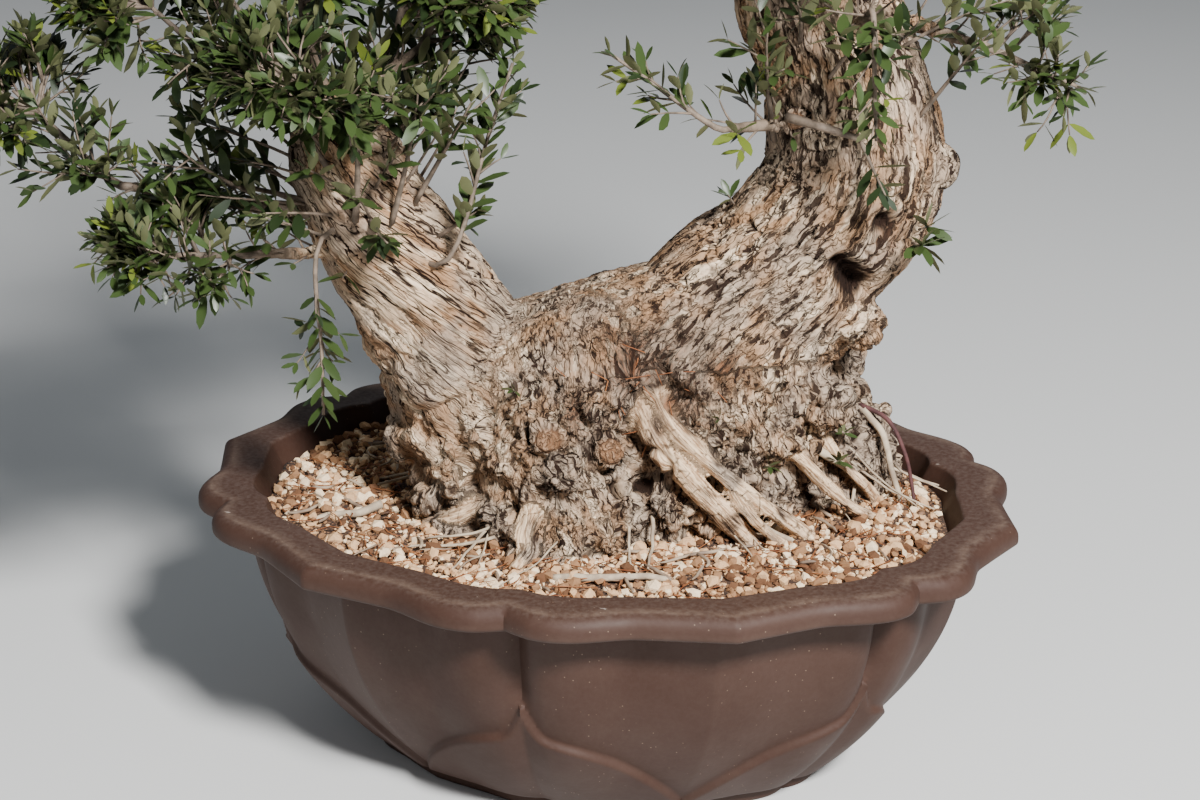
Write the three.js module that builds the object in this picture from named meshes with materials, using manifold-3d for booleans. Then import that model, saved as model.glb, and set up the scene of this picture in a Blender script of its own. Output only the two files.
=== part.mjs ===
// An old olive bonsai in a large lobed pot: a burly base that forks into two limbs, with open crowns
// of young shoots. Millimetres, +Z up. The origin is the middle of the pot's flat underside, and X
// runs along the pot's long side. The tree stands turned in its pot, in a group of its own.
import * as THREE from "three";
import { mergeVertices } from "three/addons/utils/BufferGeometryUtils.js";
import Module from "manifold-3d";

const wasm = await Module();
wasm.setup();

const { degToRad, radToDeg, clamp, lerp, euclideanModulo } = THREE.MathUtils;

// Pot sizes
const POT_HALF_LENGTH = 439;
const POT_HALF_DEPTH = 354;
const POT_HEIGHT = 285;
const POT_SEGMENTS = 60;
const RIM_HEIGHT = 25;
const RIM_WIDTH = 57;
const RIM_ROUNDING = 14;
const RIM_LIP = 6;
const RIM_INNER_EDGE = 4;
const WALL = 17;
const WALL_SHARE = 0.88;
const WALL_CURVE = 2.2;
const WALL_STEPS = 7;
const FLOOR = 38;
const FOOT_SHARE = 0.61;
const FOOT_HEIGHT = 18;
const FOOT_SET_BACK = 6;
const FOOT_EDGE = 4;
const SOIL_DROP = 23;
const INNER_HEIGHTS = [FLOOR, 80, 150];

// The pot's plan, as shares of its size, and as positions from 0 at a corner to 1 at a notch
const LOBES = 6;
const LOBE_MIDDLE = 0.965;
const CORNER_POINT = 0.04;
const CORNER_ENDS = 0.5;
const LOBE_BUMP = 0.046;
const BUMP_POSITION = 0.78;
const BUMP_REACH = 0.38;
const NOTCH_CUT = 0.014;
const NOTCH_REACH = 0.12;
const FOOT_LOBING = 0.45;
const INNER_LOBING = 0.5;
const PETAL_TOP = 158;
const PETAL_SHOULDER = 0.74;
const PETAL_CURVE = 1.7;
const PETAL_TIP = 0.14;
const PETAL_RAISE = 8;

// Tree sizes
const GAP = 0.3;
const TREE_TURN = degToRad(16.3);
const SOIL_TOP = POT_HEIGHT - SOIL_DROP;
const TRUNK_FOOT = SOIL_TOP + GAP;
const FLARE_HEIGHT = 190;
const FLARE_CURVE = 1.6;
const BOUGH_SIDES = 6;
const BOUGH_STEPS = 3;
const ROOT_SIDES = 5;
const ROOT_STEPS = 4;

// Foliage sizes
const LEAF_LENGTH = 68;
const LEAF_WIDTH = 25;
const LEAF_THICKNESS = 3;
const LEAF_TILT = 48;
const LEAF_TILT_RANGE = 14;
const LEAF_LEAN = 0.5;
const LEAF_PAIRS = 3;
const TWIG_RADIUS = 4;
const LONGEST_TWIG = 190;
const SHORTEST_TWIG = 26;
const TWIG_SLANT = 0.22;
const STEM_OVERRUN = 0.5;
const STEM_LEAD = 14;
const SHOOT_LEAF = 0.72;
const SHOOT_LEAD = 26;
const SHOOT_RADIUS = 6;
const FIRST_SEED = 101;
const SPACE_MARGIN = 0.07;
const LIMB_CLEARANCE = 5;

// Limbs: each station is the middle of a section and its radius, and the parting is how far along
// the limb leaves the trunk.
const LIMBS = {
  left: {
    sides: 12,
    steps: 9,
    parting: 0.42,
    stations: [
      [-80, 10, 290, 100],
      [-121, 8, 352, 92],
      [-167, 4, 447, 80],
      [-206, 0, 523, 71],
      [-243, -4, 588, 67],
      [-267, -8, 646, 58],
      [-276, -8, 690, 38],
    ],
  },
  right: {
    sides: 13,
    steps: 14,
    parting: 0.27,
    stations: [
      [80, 30, 290, 140],
      [96, 28, 375, 134],
      [146, 24, 462, 112],
      [206, 20, 532, 92],
      [254, 18, 612, 95],
      [250, 18, 687, 86],
      [232, 16, 749, 80],
      [211, 14, 799, 78],
      [192, 12, 900, 66],
      [180, 8, 990, 52],
      [172, 4, 1060, 38],
    ],
  },
};

// The base: rings of an oval turned in plan, each with its height, middle, half length and half
// depth, and the height of the top above the last ring.
const BASE_SEGMENTS = 28;
const BASE_TURN = degToRad(12);
const BASE_TOP = 12;
const BASE_RINGS = [
  { z: SOIL_TOP - 12, x: 56, y: 30, length: 262, depth: 118 },
  { z: SOIL_TOP + 24, x: 53, y: 28, length: 256, depth: 116 },
  { z: 330, x: 42, y: 26, length: 252, depth: 112 },
  { z: 380, x: 32, y: 24, length: 244, depth: 108 },
  { z: 430, x: 30, y: 22, length: 238, depth: 104 },
  { z: 476, x: 76, y: 22, length: 188, depth: 98 },
  { z: 505, x: 128, y: 22, length: 134, depth: 88 },
  { z: 526, x: 166, y: 20, length: 84, depth: 66 },
];
// Buttresses of the root flare: direction and width in degrees, and how far each stands out.
const BUTTRESSES = [
  { turn: -120, width: 24, out: 82 },
  { turn: -68, width: 13, out: 16 },
  { turn: -4, width: 14, out: 14 },
  { turn: 62, width: 20, out: 26 },
  { turn: 118, width: 22, out: 34 },
  { turn: 172, width: 15, out: 16 },
];
// Roots that run down the base and out over the soil: the direction and height that each starts
// at, the direction and distance from the middle of the base that it ends at, and its radius.
const ROOTS = [
  { turn: -128, height: 30, end: -124, reach: 264, radius: 14 },
  { turn: -146, height: 30, end: -158, reach: 262, radius: 11 },
  { turn: 52, height: 44, end: 42, reach: 228, radius: 13 },
  { turn: 92, height: 48, end: 104, reach: 200, radius: 15 },
  { turn: 138, height: 40, end: 152, reach: 240, radius: 12 },
];
// The peeled roots at the front and right, which stand clear of the base: the places that each
// runs through, from inside the wood to below the soil's surface, and its radius at both ends.
const CLEAR_ROOTS = [
  { places: [[36, -80, 400], [58, -112, 364], [118, -120, 298], [152, -106, 256]], radii: [15, 11] },
  { places: [[46, -76, 420], [72, -110, 382], [160, -112, 304], [214, -94, 256]], radii: [13, 8] },
  { places: [[118, -112, 338], [150, -126, 294], [170, -120, 272], [186, -112, 256]], radii: [8, 5] },
  { places: [[164, -44, 364], [200, -68, 336], [256, -58, 280], [288, -42, 256]], radii: [10, 6] },
  { places: [[222, -14, 352], [250, -22, 314], [280, -8, 276], [292, 2, 256]], radii: [8, 5] },
];
// Burls: the middle and the radius of each, half sunk in the base.
const BURLS = [
  [-5, -80, 404, 30],
  [67, -90, 290, 34],
  [-108, -104, 284, 26],
  [-45, -122, 292, 25],
  [-86, -84, 334, 28],
  [98, -84, 372, 28],
  [176, -58, 356, 30],
  [226, -20, 380, 32],
  [96, 142, 330, 34],
  [8, 116, 390, 34],
  [-96, 86, 326, 34],
  [188, 104, 382, 32],
  [246, 62, 318, 34],
  [-196, -8, 340, 34],
];

// Boughs: how far along its limb each starts, its tip, how much it bows upward, and its radius at
// its start and its tip. The first word of a name is the limb that carries it.
const BOUGHS = {
  left_outer: { at: 0.74, tip: [-480, -18, 612], bow: -6, radii: [11, 7] },
  left_low: { at: 0.7, tip: [-352, -56, 552], bow: -10, radii: [10, 6.5] },
  left_high: { at: 0.84, tip: [-362, 20, 704], bow: 12, radii: [11, 7] },
  left_top: { at: 0.95, tip: [-294, -18, 756], bow: 4, radii: [10, 6.5] },
  left_front: { at: 0.88, tip: [-290, -92, 706], bow: 12, radii: [10, 6.5] },
  left_inner: { at: 0.92, tip: [-196, 8, 742], bow: 16, radii: [10, 6.5] },
  left_back: { at: 0.8, tip: [-330, 98, 690], bow: 14, radii: [11, 7] },
  left_back_inner: { at: 0.88, tip: [-222, 100, 736], bow: 14, radii: [10, 6.5] },
  right_leader: { at: 0.99, tip: [180, 2, 1150], bow: 0, radii: [28, 12] },
  right_left: { at: 0.86, tip: [62, -20, 1068], bow: 22, radii: [28, 11] },
  right_left_low: { at: 0.74, tip: [44, 50, 904], bow: 20, radii: [20, 9] },
  right_right: { at: 0.8, tip: [320, 22, 1046], bow: 18, radii: [30, 11] },
  right_right_low: { at: 0.7, tip: [372, -12, 886], bow: 24, radii: [22, 9] },
  right_front: { at: 0.78, tip: [212, -140, 968], bow: 20, radii: [22, 9] },
  right_back: { at: 0.76, tip: [196, 160, 966], bow: 22, radii: [24, 9] },
  right_shoulder: { at: 0.6, tip: [354, -44, 768], bow: 26, radii: [13, 7] },
  right_stub: { at: 0.49, tip: [122, -96, 692], bow: 12, radii: [12, 6.5] },
  right_breast: { at: 0.6, tip: [252, -112, 808], bow: 8, radii: [12, 6.5] },
};

// Foliage masses: the middle and half sizes of each one's own space, and how many leaves it
// carries. Each grows from the bough of its name, or from its limb at a place and a turn.
const MASSES = {
  left_outer: { middle: [-560, -20, 680], half: [112, 100, 112], leaves: 16 },
  left_low: { middle: [-424, -84, 560], half: [104, 88, 84], leaves: 15 },
  left_high: { middle: [-446, 22, 778], half: [126, 116, 122], leaves: 18 },
  left_top: { middle: [-300, -18, 886], half: [124, 118, 126], leaves: 18 },
  left_front: { middle: [-292, -134, 742], half: [108, 84, 92], leaves: 14 },
  left_inner: { middle: [-150, 10, 838], half: [104, 106, 116], leaves: 16 },
  left_back: { middle: [-392, 184, 752], half: [116, 104, 106], leaves: 12 },
  left_back_inner: { middle: [-206, 188, 820], half: [108, 96, 106], leaves: 11 },
  left_upright: { middle: [-114, -54, 680], half: [56, 54, 104], leaves: 14, at: 0.66, turn: -50 },
  left_hanging: { middle: [-284, -104, 458], half: [56, 50, 80], leaves: 12, at: 0.72, turn: -122 },
  right_leader: { middle: [184, 0, 1262], half: [152, 148, 118], leaves: 21 },
  right_left: { middle: [-54, -30, 1130], half: [148, 138, 132], leaves: 21 },
  right_left_low: { middle: [-74, 84, 930], half: [126, 118, 110], leaves: 17 },
  right_right: { middle: [424, 34, 1124], half: [144, 138, 132], leaves: 21 },
  right_right_low: { middle: [478, -20, 910], half: [124, 122, 108], leaves: 17 },
  right_front: { middle: [212, -246, 1036], half: [144, 118, 124], leaves: 19 },
  right_back: { middle: [190, 260, 1034], half: [148, 118, 128], leaves: 15 },
  right_shoulder: { middle: [440, -46, 734], half: [116, 92, 92], leaves: 15 },
  right_stub: { middle: [40, -98, 742], half: [104, 64, 62], leaves: 14 },
  right_breast: { middle: [256, -152, 736], half: [104, 62, 96], leaves: 14 },
};

// The masses that are shoots, with their leaves on the stem. The others have them on twigs.
const SHOOTS = ["left_upright", "left_hanging", "right_stub", "right_breast"];

// Colours and finishes
const PALETTE = {
  pot: { color: 0x55443e, roughness: 0.72 },
  soil: { color: 0xa3937c, roughness: 0.95 },
  bark: { color: 0x9a8a78, roughness: 0.92 },
  bough: { color: 0x8f8674, roughness: 0.85 },
  foliage: { color: 0x44582f, roughness: 0.5 },
};

const ALONG_X = new THREE.Vector3(1, 0, 0);
const ALONG_Y = new THREE.Vector3(0, 1, 0);
const UP = new THREE.Vector3(0, 0, 1);
const FULL_TURN = 2 * Math.PI;
const GOLDEN_SHARE = 0.618;
const GOLDEN_ANGLE = Math.PI * (3 - Math.sqrt(5));
const point = ([x, y, z]) => new THREE.Vector3(x, y, z);
const limbOf = (name) => name.split("_")[0];

// A number from 0 to 1 each time it is called, the same row of them for the same seed.
function seededRandom(seed) {
  let state = seed;
  return () => {
    state = (state + 0x6d2b79f5) | 0;
    let mixed = Math.imul(state ^ (state >>> 15), 1 | state);
    mixed = (mixed + Math.imul(mixed ^ (mixed >>> 7), 61 | mixed)) ^ mixed;
    return ((mixed ^ (mixed >>> 14)) >>> 0) / 4294967296;
  };
}

function solidOf(geometry) {
  const bare = geometry.clone();
  bare.deleteAttribute("normal");
  bare.deleteAttribute("uv");
  const merged = mergeVertices(bare, 1e-3);
  return new wasm.Manifold(
    new wasm.Mesh({
      numProp: 3,
      vertProperties: new Float32Array(merged.attributes.position.array),
      triVerts: new Uint32Array(merged.index.array),
    }),
  );
}

function geometryOf(solid) {
  const mesh = solid.getMesh();
  const geometry = new THREE.BufferGeometry();
  geometry.setAttribute("position", new THREE.BufferAttribute(mesh.vertProperties, mesh.numProp));
  geometry.setIndex(new THREE.BufferAttribute(mesh.triVerts, 1));
  geometry.computeVertexNormals();
  return geometry;
}

function meshOf(solid, name, finish) {
  const material = new THREE.MeshStandardMaterial({ ...PALETTE[finish], metalness: 0 });
  const mesh = new THREE.Mesh(geometryOf(solid), material);
  mesh.name = name;
  return mesh;
}

function largestBody(solid) {
  return solid.decompose().reduce((best, body) => (body.volume() > best.volume() ? body : best));
}

// Everything beyond a plane, as a block far larger than the tree.
function halfSpace(origin, normal) {
  const size = 6000;
  const block = new THREE.BoxGeometry(size, size, size);
  block.translate(0, 0, size / 2);
  block.applyQuaternion(new THREE.Quaternion().setFromUnitVectors(UP, normal));
  block.translate(origin.x, origin.y, origin.z);
  return solidOf(block);
}

// Where an angle lies between the nearest corner, 0, and the nearest notch, 1.
function lobePosition(angle) {
  const sector = FULL_TURN / LOBES;
  const offset = euclideanModulo(angle, sector);
  return (2 * Math.min(offset, sector - offset)) / sector;
}

// The plan of the pot as a share of its size: pointed corners, and notches between rounded lobes.
function lobeOutline(angle) {
  const position = lobePosition(angle);
  const corner = CORNER_POINT * Math.max(0, 1 - position / CORNER_ENDS) ** 2;
  const fromBump = Math.min(1, Math.abs(position - BUMP_POSITION) / BUMP_REACH);
  const bump = LOBE_BUMP * Math.cos((fromBump * Math.PI) / 2) ** 2;
  const notch = NOTCH_CUT * Math.max(0, 1 - (1 - position) / NOTCH_REACH);
  return LOBE_MIDDLE + corner + bump - notch;
}

// The petals on the lower wall: each drops from a point under a notch to a shoulder, and sweeps
// from there down to the corners.
function petalTop(angle) {
  const fromNotch = 1 - lobePosition(angle);
  const shoulder = PETAL_SHOULDER * (1 - fromNotch ** PETAL_CURVE);
  const tip = (1 - PETAL_SHOULDER) * Math.max(0, 1 - fromNotch / PETAL_TIP) ** 2;
  return lerp(FOOT_HEIGHT, PETAL_TOP, shoulder + tip);
}

// A station of the pot's profile: its share of the pot's plan, an inset from that, its height, how
// strongly the lobes show, and whether it lies on the outer wall.
function station(share, inset, z, lobing = 1, outside = false) {
  return { share, inset, z, lobing, outside };
}

function wallShare(z) {
  const height = Math.min(1, (z - FOOT_HEIGHT) / (POT_HEIGHT - RIM_HEIGHT - FOOT_HEIGHT));
  return lerp(FOOT_SHARE, WALL_SHARE, 1 - (1 - height) ** WALL_CURVE);
}

function wallLobing(z) {
  return lerp(FOOT_LOBING, 1, z / POT_HEIGHT);
}

function outerWall() {
  const stations = [];
  for (let i = 0; i <= WALL_STEPS; i++) {
    const z = lerp(FOOT_HEIGHT, POT_HEIGHT - RIM_HEIGHT, i / WALL_STEPS);
    stations.push(station(wallShare(z), 0, z, wallLobing(z), true));
  }
  return stations;
}

function lobedLathe(stations) {
  const profile = stations.map(({ share, inset, z }) => {
    const radius = share ? POT_HALF_LENGTH * share - inset : 0;
    return new THREE.Vector2(radius, z);
  });
  const geometry = new THREE.LatheGeometry(profile, POT_SEGMENTS).rotateX(Math.PI / 2);
  const position = geometry.attributes.position;
  for (let v = 0; v < position.count; v++) {
    const { share, inset, z, lobing, outside } = stations[v % stations.length];
    if (!share) continue;
    const turn = Math.floor(v / stations.length) / POT_SEGMENTS;
    const angle = turn * FULL_TURN - Math.PI / 2;
    const lobed = share * lerp(1, lobeOutline(angle), lobing);
    const raised = outside && z < petalTop(angle) ? PETAL_RAISE : 0;
    const x = (POT_HALF_LENGTH * lobed - inset + raised) * Math.cos(angle);
    const y = (POT_HALF_DEPTH * lobed - inset + raised) * Math.sin(angle);
    position.setXY(v, x, y);
  }
  return geometry;
}

// The inside of the pot from its floor up to the soil's level, drawn in by a gap.
function innerStations(gap) {
  return [...INNER_HEIGHTS, SOIL_TOP].map((z) => {
    return station(wallShare(z), WALL + gap, z === FLOOR ? z + gap : z, INNER_LOBING);
  });
}

function pot() {
  const rimFoot = POT_HEIGHT - RIM_HEIGHT;
  const shoulder = 0.3 * RIM_ROUNDING;
  const stations = [
    station(0, 0, 0),
    station(FOOT_SHARE, FOOT_SET_BACK, 0, FOOT_LOBING),
    station(FOOT_SHARE, FOOT_SET_BACK, FOOT_HEIGHT - FOOT_EDGE, FOOT_LOBING),
    ...outerWall(),
    station(1, RIM_LIP, rimFoot),
    station(1, 0, rimFoot + RIM_LIP),
    station(1, 0, POT_HEIGHT - RIM_ROUNDING),
    station(1, shoulder, POT_HEIGHT - shoulder),
    station(1, RIM_ROUNDING, POT_HEIGHT),
    station(1, RIM_WIDTH - RIM_INNER_EDGE, POT_HEIGHT),
    station(1, RIM_WIDTH, POT_HEIGHT - RIM_INNER_EDGE, INNER_LOBING),
    ...innerStations(0).reverse(),
    station(0, 0, FLOOR),
  ];
  return meshOf(solidOf(lobedLathe(stations)), "pot", "pot");
}

function soil() {
  const sides = innerStations(1.4 * GAP);
  const stations = [station(0, 0, FLOOR + GAP), ...sides, station(0, 0, SOIL_TOP)];
  return meshOf(solidOf(lobedLathe(stations)), "soil", "soil");
}

// A closed tube whose sections follow a curve. The radius comes from how far along it is.
function bentTube(curve, radiusAt, sides, steps) {
  const geometry = new THREE.CylinderGeometry(1, 1, 1, sides, steps);
  const frames = curve.computeFrenetFrames(steps);
  const position = geometry.attributes.position;
  const vertex = new THREE.Vector3();
  for (let v = 0; v < position.count; v++) {
    vertex.fromBufferAttribute(position, v);
    const along = vertex.y + 0.5;
    const ring = Math.round(along * steps);
    const radius = radiusAt(along);
    const place = curve.getPointAt(along);
    place.addScaledVector(frames.normals[ring], vertex.x * radius);
    place.addScaledVector(frames.binormals[ring], -vertex.z * radius);
    position.setXYZ(v, place.x, place.y, place.z);
  }
  return geometry;
}

// A limb: its curve, its radius along it, and its sides and steps.
function limbFrom({ sides, steps, stations }) {
  const curve = new THREE.CatmullRomCurve3(stations.map(point), false, "centripetal");
  const lengths = [0];
  for (let i = 1; i < stations.length; i++) {
    lengths.push(lengths[i - 1] + point(stations[i]).distanceTo(point(stations[i - 1])));
  }
  const radiusAt = (along) => {
    const reached = along * lengths.at(-1);
    const next = Math.max(1, lengths.findIndex((length) => length >= reached - 1e-6));
    const share = (reached - lengths[next - 1]) / (lengths[next] - lengths[next - 1]);
    return lerp(stations[next - 1][3], stations[next][3], share);
  };
  return { curve, radiusAt, sides, steps };
}

function boughFrom({ at, tip, bow, radii }, parent) {
  const start = parent.curve.getPointAt(at);
  const end = point(tip);
  const middle = start.clone().lerp(end, 0.5).addScaledVector(UP, bow);
  const curve = new THREE.CatmullRomCurve3([start, middle, end], false, "centripetal");
  const radiusAt = (along) => lerp(radii[0], radii[1], along);
  return { curve, radiusAt, sides: BOUGH_SIDES, steps: BOUGH_STEPS };
}

function limbSolid(limb) {
  return solidOf(bentTube(limb.curve, limb.radiusAt, limb.sides, limb.steps));
}

// A limb with a little room all round it and beyond its tip, to cut what meets it.
function limbRoom(limb) {
  const grown = (along) => limb.radiusAt(along) + GAP;
  const tube = bentTube(limb.curve, grown, limb.sides, limb.steps);
  const heading = limb.curve.getTangentAt(1).multiplyScalar(GAP);
  return solidOf(tube).add(solidOf(tube.clone().translate(heading.x, heading.y, heading.z)));
}

// How far the base stands out in a direction: its oval, with the buttresses of the root flare.
function baseRadius(ring, angle) {
  const turned = angle - BASE_TURN;
  const oval = 1 / Math.hypot(Math.cos(turned) / ring.length, Math.sin(turned) / ring.depth);
  const height = clamp((ring.z - SOIL_TOP) / FLARE_HEIGHT, 0, 1);
  let flare = 0;
  for (const { turn, width, out } of BUTTRESSES) {
    const away = euclideanModulo(radToDeg(angle) - turn + 180, 360) - 180;
    flare += out * Math.exp(-((away / width) ** 2)) * (1 - height) ** FLARE_CURVE;
  }
  return oval + flare;
}

// A place near the skin of the base in a direction and at a height, pushed out by a distance.
function nearSkin(degrees, z, out) {
  const next = Math.max(1, BASE_RINGS.findIndex((ring) => ring.z >= z));
  const lower = BASE_RINGS[next - 1];
  const upper = BASE_RINGS[next];
  const share = (z - lower.z) / (upper.z - lower.z);
  const angle = degToRad(degrees);
  const radius = lerp(baseRadius(lower, angle), baseRadius(upper, angle), share) + out;
  const x = lerp(lower.x, upper.x, share) + radius * Math.cos(angle);
  const y = lerp(lower.y, upper.y, share) + radius * Math.sin(angle);
  return new THREE.Vector3(x, y, z);
}

function baseSolid() {
  const last = BASE_RINGS.at(-1);
  const profile = [
    new THREE.Vector2(0, BASE_RINGS[0].z),
    ...BASE_RINGS.map(({ length, z }) => new THREE.Vector2(length, z)),
    new THREE.Vector2(0, last.z + BASE_TOP),
  ];
  const geometry = new THREE.LatheGeometry(profile, BASE_SEGMENTS).rotateX(Math.PI / 2);
  const position = geometry.attributes.position;
  for (let v = 0; v < position.count; v++) {
    const row = v % profile.length;
    const ring = BASE_RINGS[clamp(row - 1, 0, BASE_RINGS.length - 1)];
    const onAxis = row === 0 || row === profile.length - 1;
    const angle = (Math.floor(v / profile.length) / BASE_SEGMENTS) * FULL_TURN - Math.PI / 2;
    const radius = onAxis ? 0 : baseRadius(ring, angle);
    position.setXY(v, ring.x + radius * Math.cos(angle), ring.y + radius * Math.sin(angle));
  }
  return solidOf(geometry);
}

function rootSolid({ turn, height, end, reach, radius }) {
  const { x, y } = BASE_RINGS[0];
  const angle = degToRad(end);
  const tip = new THREE.Vector3(x + reach * Math.cos(angle), y + reach * Math.sin(angle), SOIL_TOP);
  const places = [
    nearSkin(turn, SOIL_TOP + height, -radius),
    nearSkin(lerp(turn, end, 0.35), SOIL_TOP + 0.62 * height, 0),
    nearSkin(lerp(turn, end, 0.75), SOIL_TOP + 0.24 * height, 0.3 * radius),
    tip,
  ];
  return taperedRoot(places, [1.1 * radius, 0.5 * radius]);
}

function taperedRoot(places, radii) {
  const curve = new THREE.CatmullRomCurve3(places, false, "centripetal");
  return solidOf(bentTube(curve, (along) => lerp(radii[0], radii[1], along), ROOT_SIDES, ROOT_STEPS));
}

function burlSolid([x, y, z, radius]) {
  return solidOf(new THREE.DodecahedronGeometry(radius).translate(x, y, z));
}

// The trunk, from its flat cut at the soil to the two partings where the limbs begin.
function trunkSolid(partings) {
  let solid = baseSolid();
  for (const burl of BURLS) solid = solid.add(burlSolid(burl));
  for (const root of ROOTS) solid = solid.add(rootSolid(root));
  for (const { places, radii } of CLEAR_ROOTS) solid = solid.add(taperedRoot(places.map(point), radii));
  for (const { limb, beyond } of partings) {
    solid = solid.add(limbSolid(limb));
    solid = solid.subtract(limbRoom(limb).intersect(beyond));
  }
  const above = halfSpace(new THREE.Vector3(0, 0, TRUNK_FOOT), UP);
  return largestBody(solid.intersect(above));
}

function parting(limb, share) {
  const origin = limb.curve.getPointAt(share);
  const heading = limb.curve.getTangentAt(share);
  const lowered = origin.clone().addScaledVector(heading, -GAP);
  return { limb, beyond: halfSpace(lowered, heading), kept: halfSpace(origin, heading) };
}

// How deep a point lies in the space of a mass: 0 in its middle and 1 on its skin.
function depthIn({ middle, half }, place) {
  const [x, y, z] = middle;
  return Math.hypot((place.x - x) / half[0], (place.y - y) / half[1], (place.z - z) / half[2]);
}

function keepsToSpace(mass, place) {
  const own = depthIn(mass, place);
  if (own > 1) return false;
  return Object.values(MASSES).every((other) => {
    return other === mass || depthIn(other, place) > own + SPACE_MARGIN;
  });
}

function clearOfLimbs(place, limbs) {
  for (const limb of limbs.values()) {
    for (const { middle, radius, along } of limb.beads) {
      const near = radius + LIMB_CLEARANCE;
      if (along < 1 && middle.distanceToSquared(place) < near * near) return false;
    }
  }
  return true;
}

function stringOfBeads(limb) {
  const count = 40;
  const beads = [];
  for (let i = 0; i <= count; i++) {
    const along = i / count;
    beads.push({ along, middle: limb.curve.getPointAt(along), radius: limb.radiusAt(along) });
  }
  return beads;
}

// A leaf with its root at the origin end, lying along its heading with its face turned up.
function leafGeometry(root, heading, facing, size) {
  const side = new THREE.Vector3().crossVectors(facing, heading).normalize();
  const normal = new THREE.Vector3().crossVectors(heading, side).normalize();
  const leaf = new THREE.OctahedronGeometry(1);
  leaf.translate(1, 0, 0);
  leaf.scale((LEAF_LENGTH * size) / 2, (LEAF_WIDTH * size) / 2, LEAF_THICKNESS / 2);
  leaf.applyMatrix4(new THREE.Matrix4().makeBasis(heading, side, normal));
  return leaf.translate(root.x, root.y, root.z);
}

function twigGeometry(start, end) {
  const length = start.distanceTo(end);
  const heading = end.clone().sub(start).normalize();
  const twig = new THREE.CylinderGeometry(0.6 * TWIG_RADIUS, TWIG_RADIUS, length, 3);
  twig.translate(0, length / 2, 0);
  twig.applyQuaternion(new THREE.Quaternion().setFromUnitVectors(ALONG_Y, heading));
  return twig.translate(start.x, start.y, start.z);
}

// A direction at an angle to an axis, turned about it.
function splayed(axis, tilt, turn) {
  const across = new THREE.Vector3().crossVectors(axis, Math.abs(axis.z) < 0.9 ? UP : ALONG_X);
  across.normalize().applyAxisAngle(axis, turn);
  return axis.clone().multiplyScalar(Math.cos(tilt)).addScaledVector(across, Math.sin(tilt));
}

// A place on the skin of a mass's space: its share of the way up, and its turn about the middle.
function placeOnSkin({ middle, half }, share, turn) {
  const rise = 2 * share - 1;
  const across = Math.sqrt(1 - rise * rise);
  const offset = new THREE.Vector3(across * Math.cos(turn), across * Math.sin(turn), rise);
  return point(middle).add(offset.multiply(point(half)));
}

// Where on a stem a twig leaves for a place: short of the nearest point, so that it slants forward.
function nearestAlong(stem, target, entry) {
  const samples = 20;
  let best = 1;
  for (let i = samples; i >= 0; i--) {
    const distance = stem.getPointAt(i / samples).distanceTo(target);
    if (distance < stem.getPointAt(best).distanceTo(target)) best = i / samples;
  }
  return Math.max(entry, best - TWIG_SLANT);
}

// How far a ray from a place inside a mass's space runs before it leaves it.
function reachWithin(mass, start, heading) {
  const step = 6;
  let reach = 0;
  while (reach < LONGEST_TWIG) {
    const ahead = start.clone().addScaledVector(heading, reach + step);
    if (!keepsToSpace(mass, ahead)) break;
    reach += step;
  }
  return reach;
}

// A mass's stem from its bough's tip, or straight out of its limb, through its middle and beyond.
function massStem(mass, limb) {
  const middle = point(mass.middle);
  const onLimb = mass.at !== undefined;
  const turn = degToRad(mass.turn ?? 0);
  const outward = new THREE.Vector3(Math.cos(turn), Math.sin(turn), 0);
  const heading = onLimb ? outward : limb.curve.getTangentAt(1);
  const start = limb.curve.getPointAt(mass.at ?? 1).addScaledVector(heading, onLimb ? 0 : GAP);
  const lead = onLimb ? limb.radiusAt(mass.at) + SHOOT_LEAD : STEM_LEAD;
  const first = start.clone().addScaledVector(heading, lead);
  const far = middle.clone().addScaledVector(middle.clone().sub(first), STEM_OVERRUN);
  const radius = onLimb ? SHOOT_RADIUS : limb.radiusAt(1);
  const curve = new THREE.CatmullRomCurve3([start, first, middle, far], false, "centripetal");
  const radiusAt = (along) => lerp(radius, 0.8 * TWIG_RADIUS, along);
  const [sides, steps] = onLimb ? [5, 7] : [4, 5];
  return { curve, solid: solidOf(bentTube(curve, radiusAt, sides, steps)) };
}

// How far along its stem a mass's own space begins.
function entryOf(mass, curve) {
  let entry = 0.12;
  while (entry < 0.8 && depthIn(mass, curve.getPointAt(entry)) > 0.92) entry += 0.02;
  return entry;
}

function leafAllowed(mass, limbs, root, heading, facing, size) {
  const side = new THREE.Vector3().crossVectors(facing, heading).normalize();
  const length = LEAF_LENGTH * size;
  const waist = root.clone().addScaledVector(heading, length / 2);
  const corners = [
    root.clone().addScaledVector(heading, length),
    waist.clone().addScaledVector(side, LEAF_WIDTH / 2),
    waist.clone().addScaledVector(side, -LEAF_WIDTH / 2),
  ];
  return corners.every((place) => keepsToSpace(mass, place) && clearOfLimbs(place, limbs));
}

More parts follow.
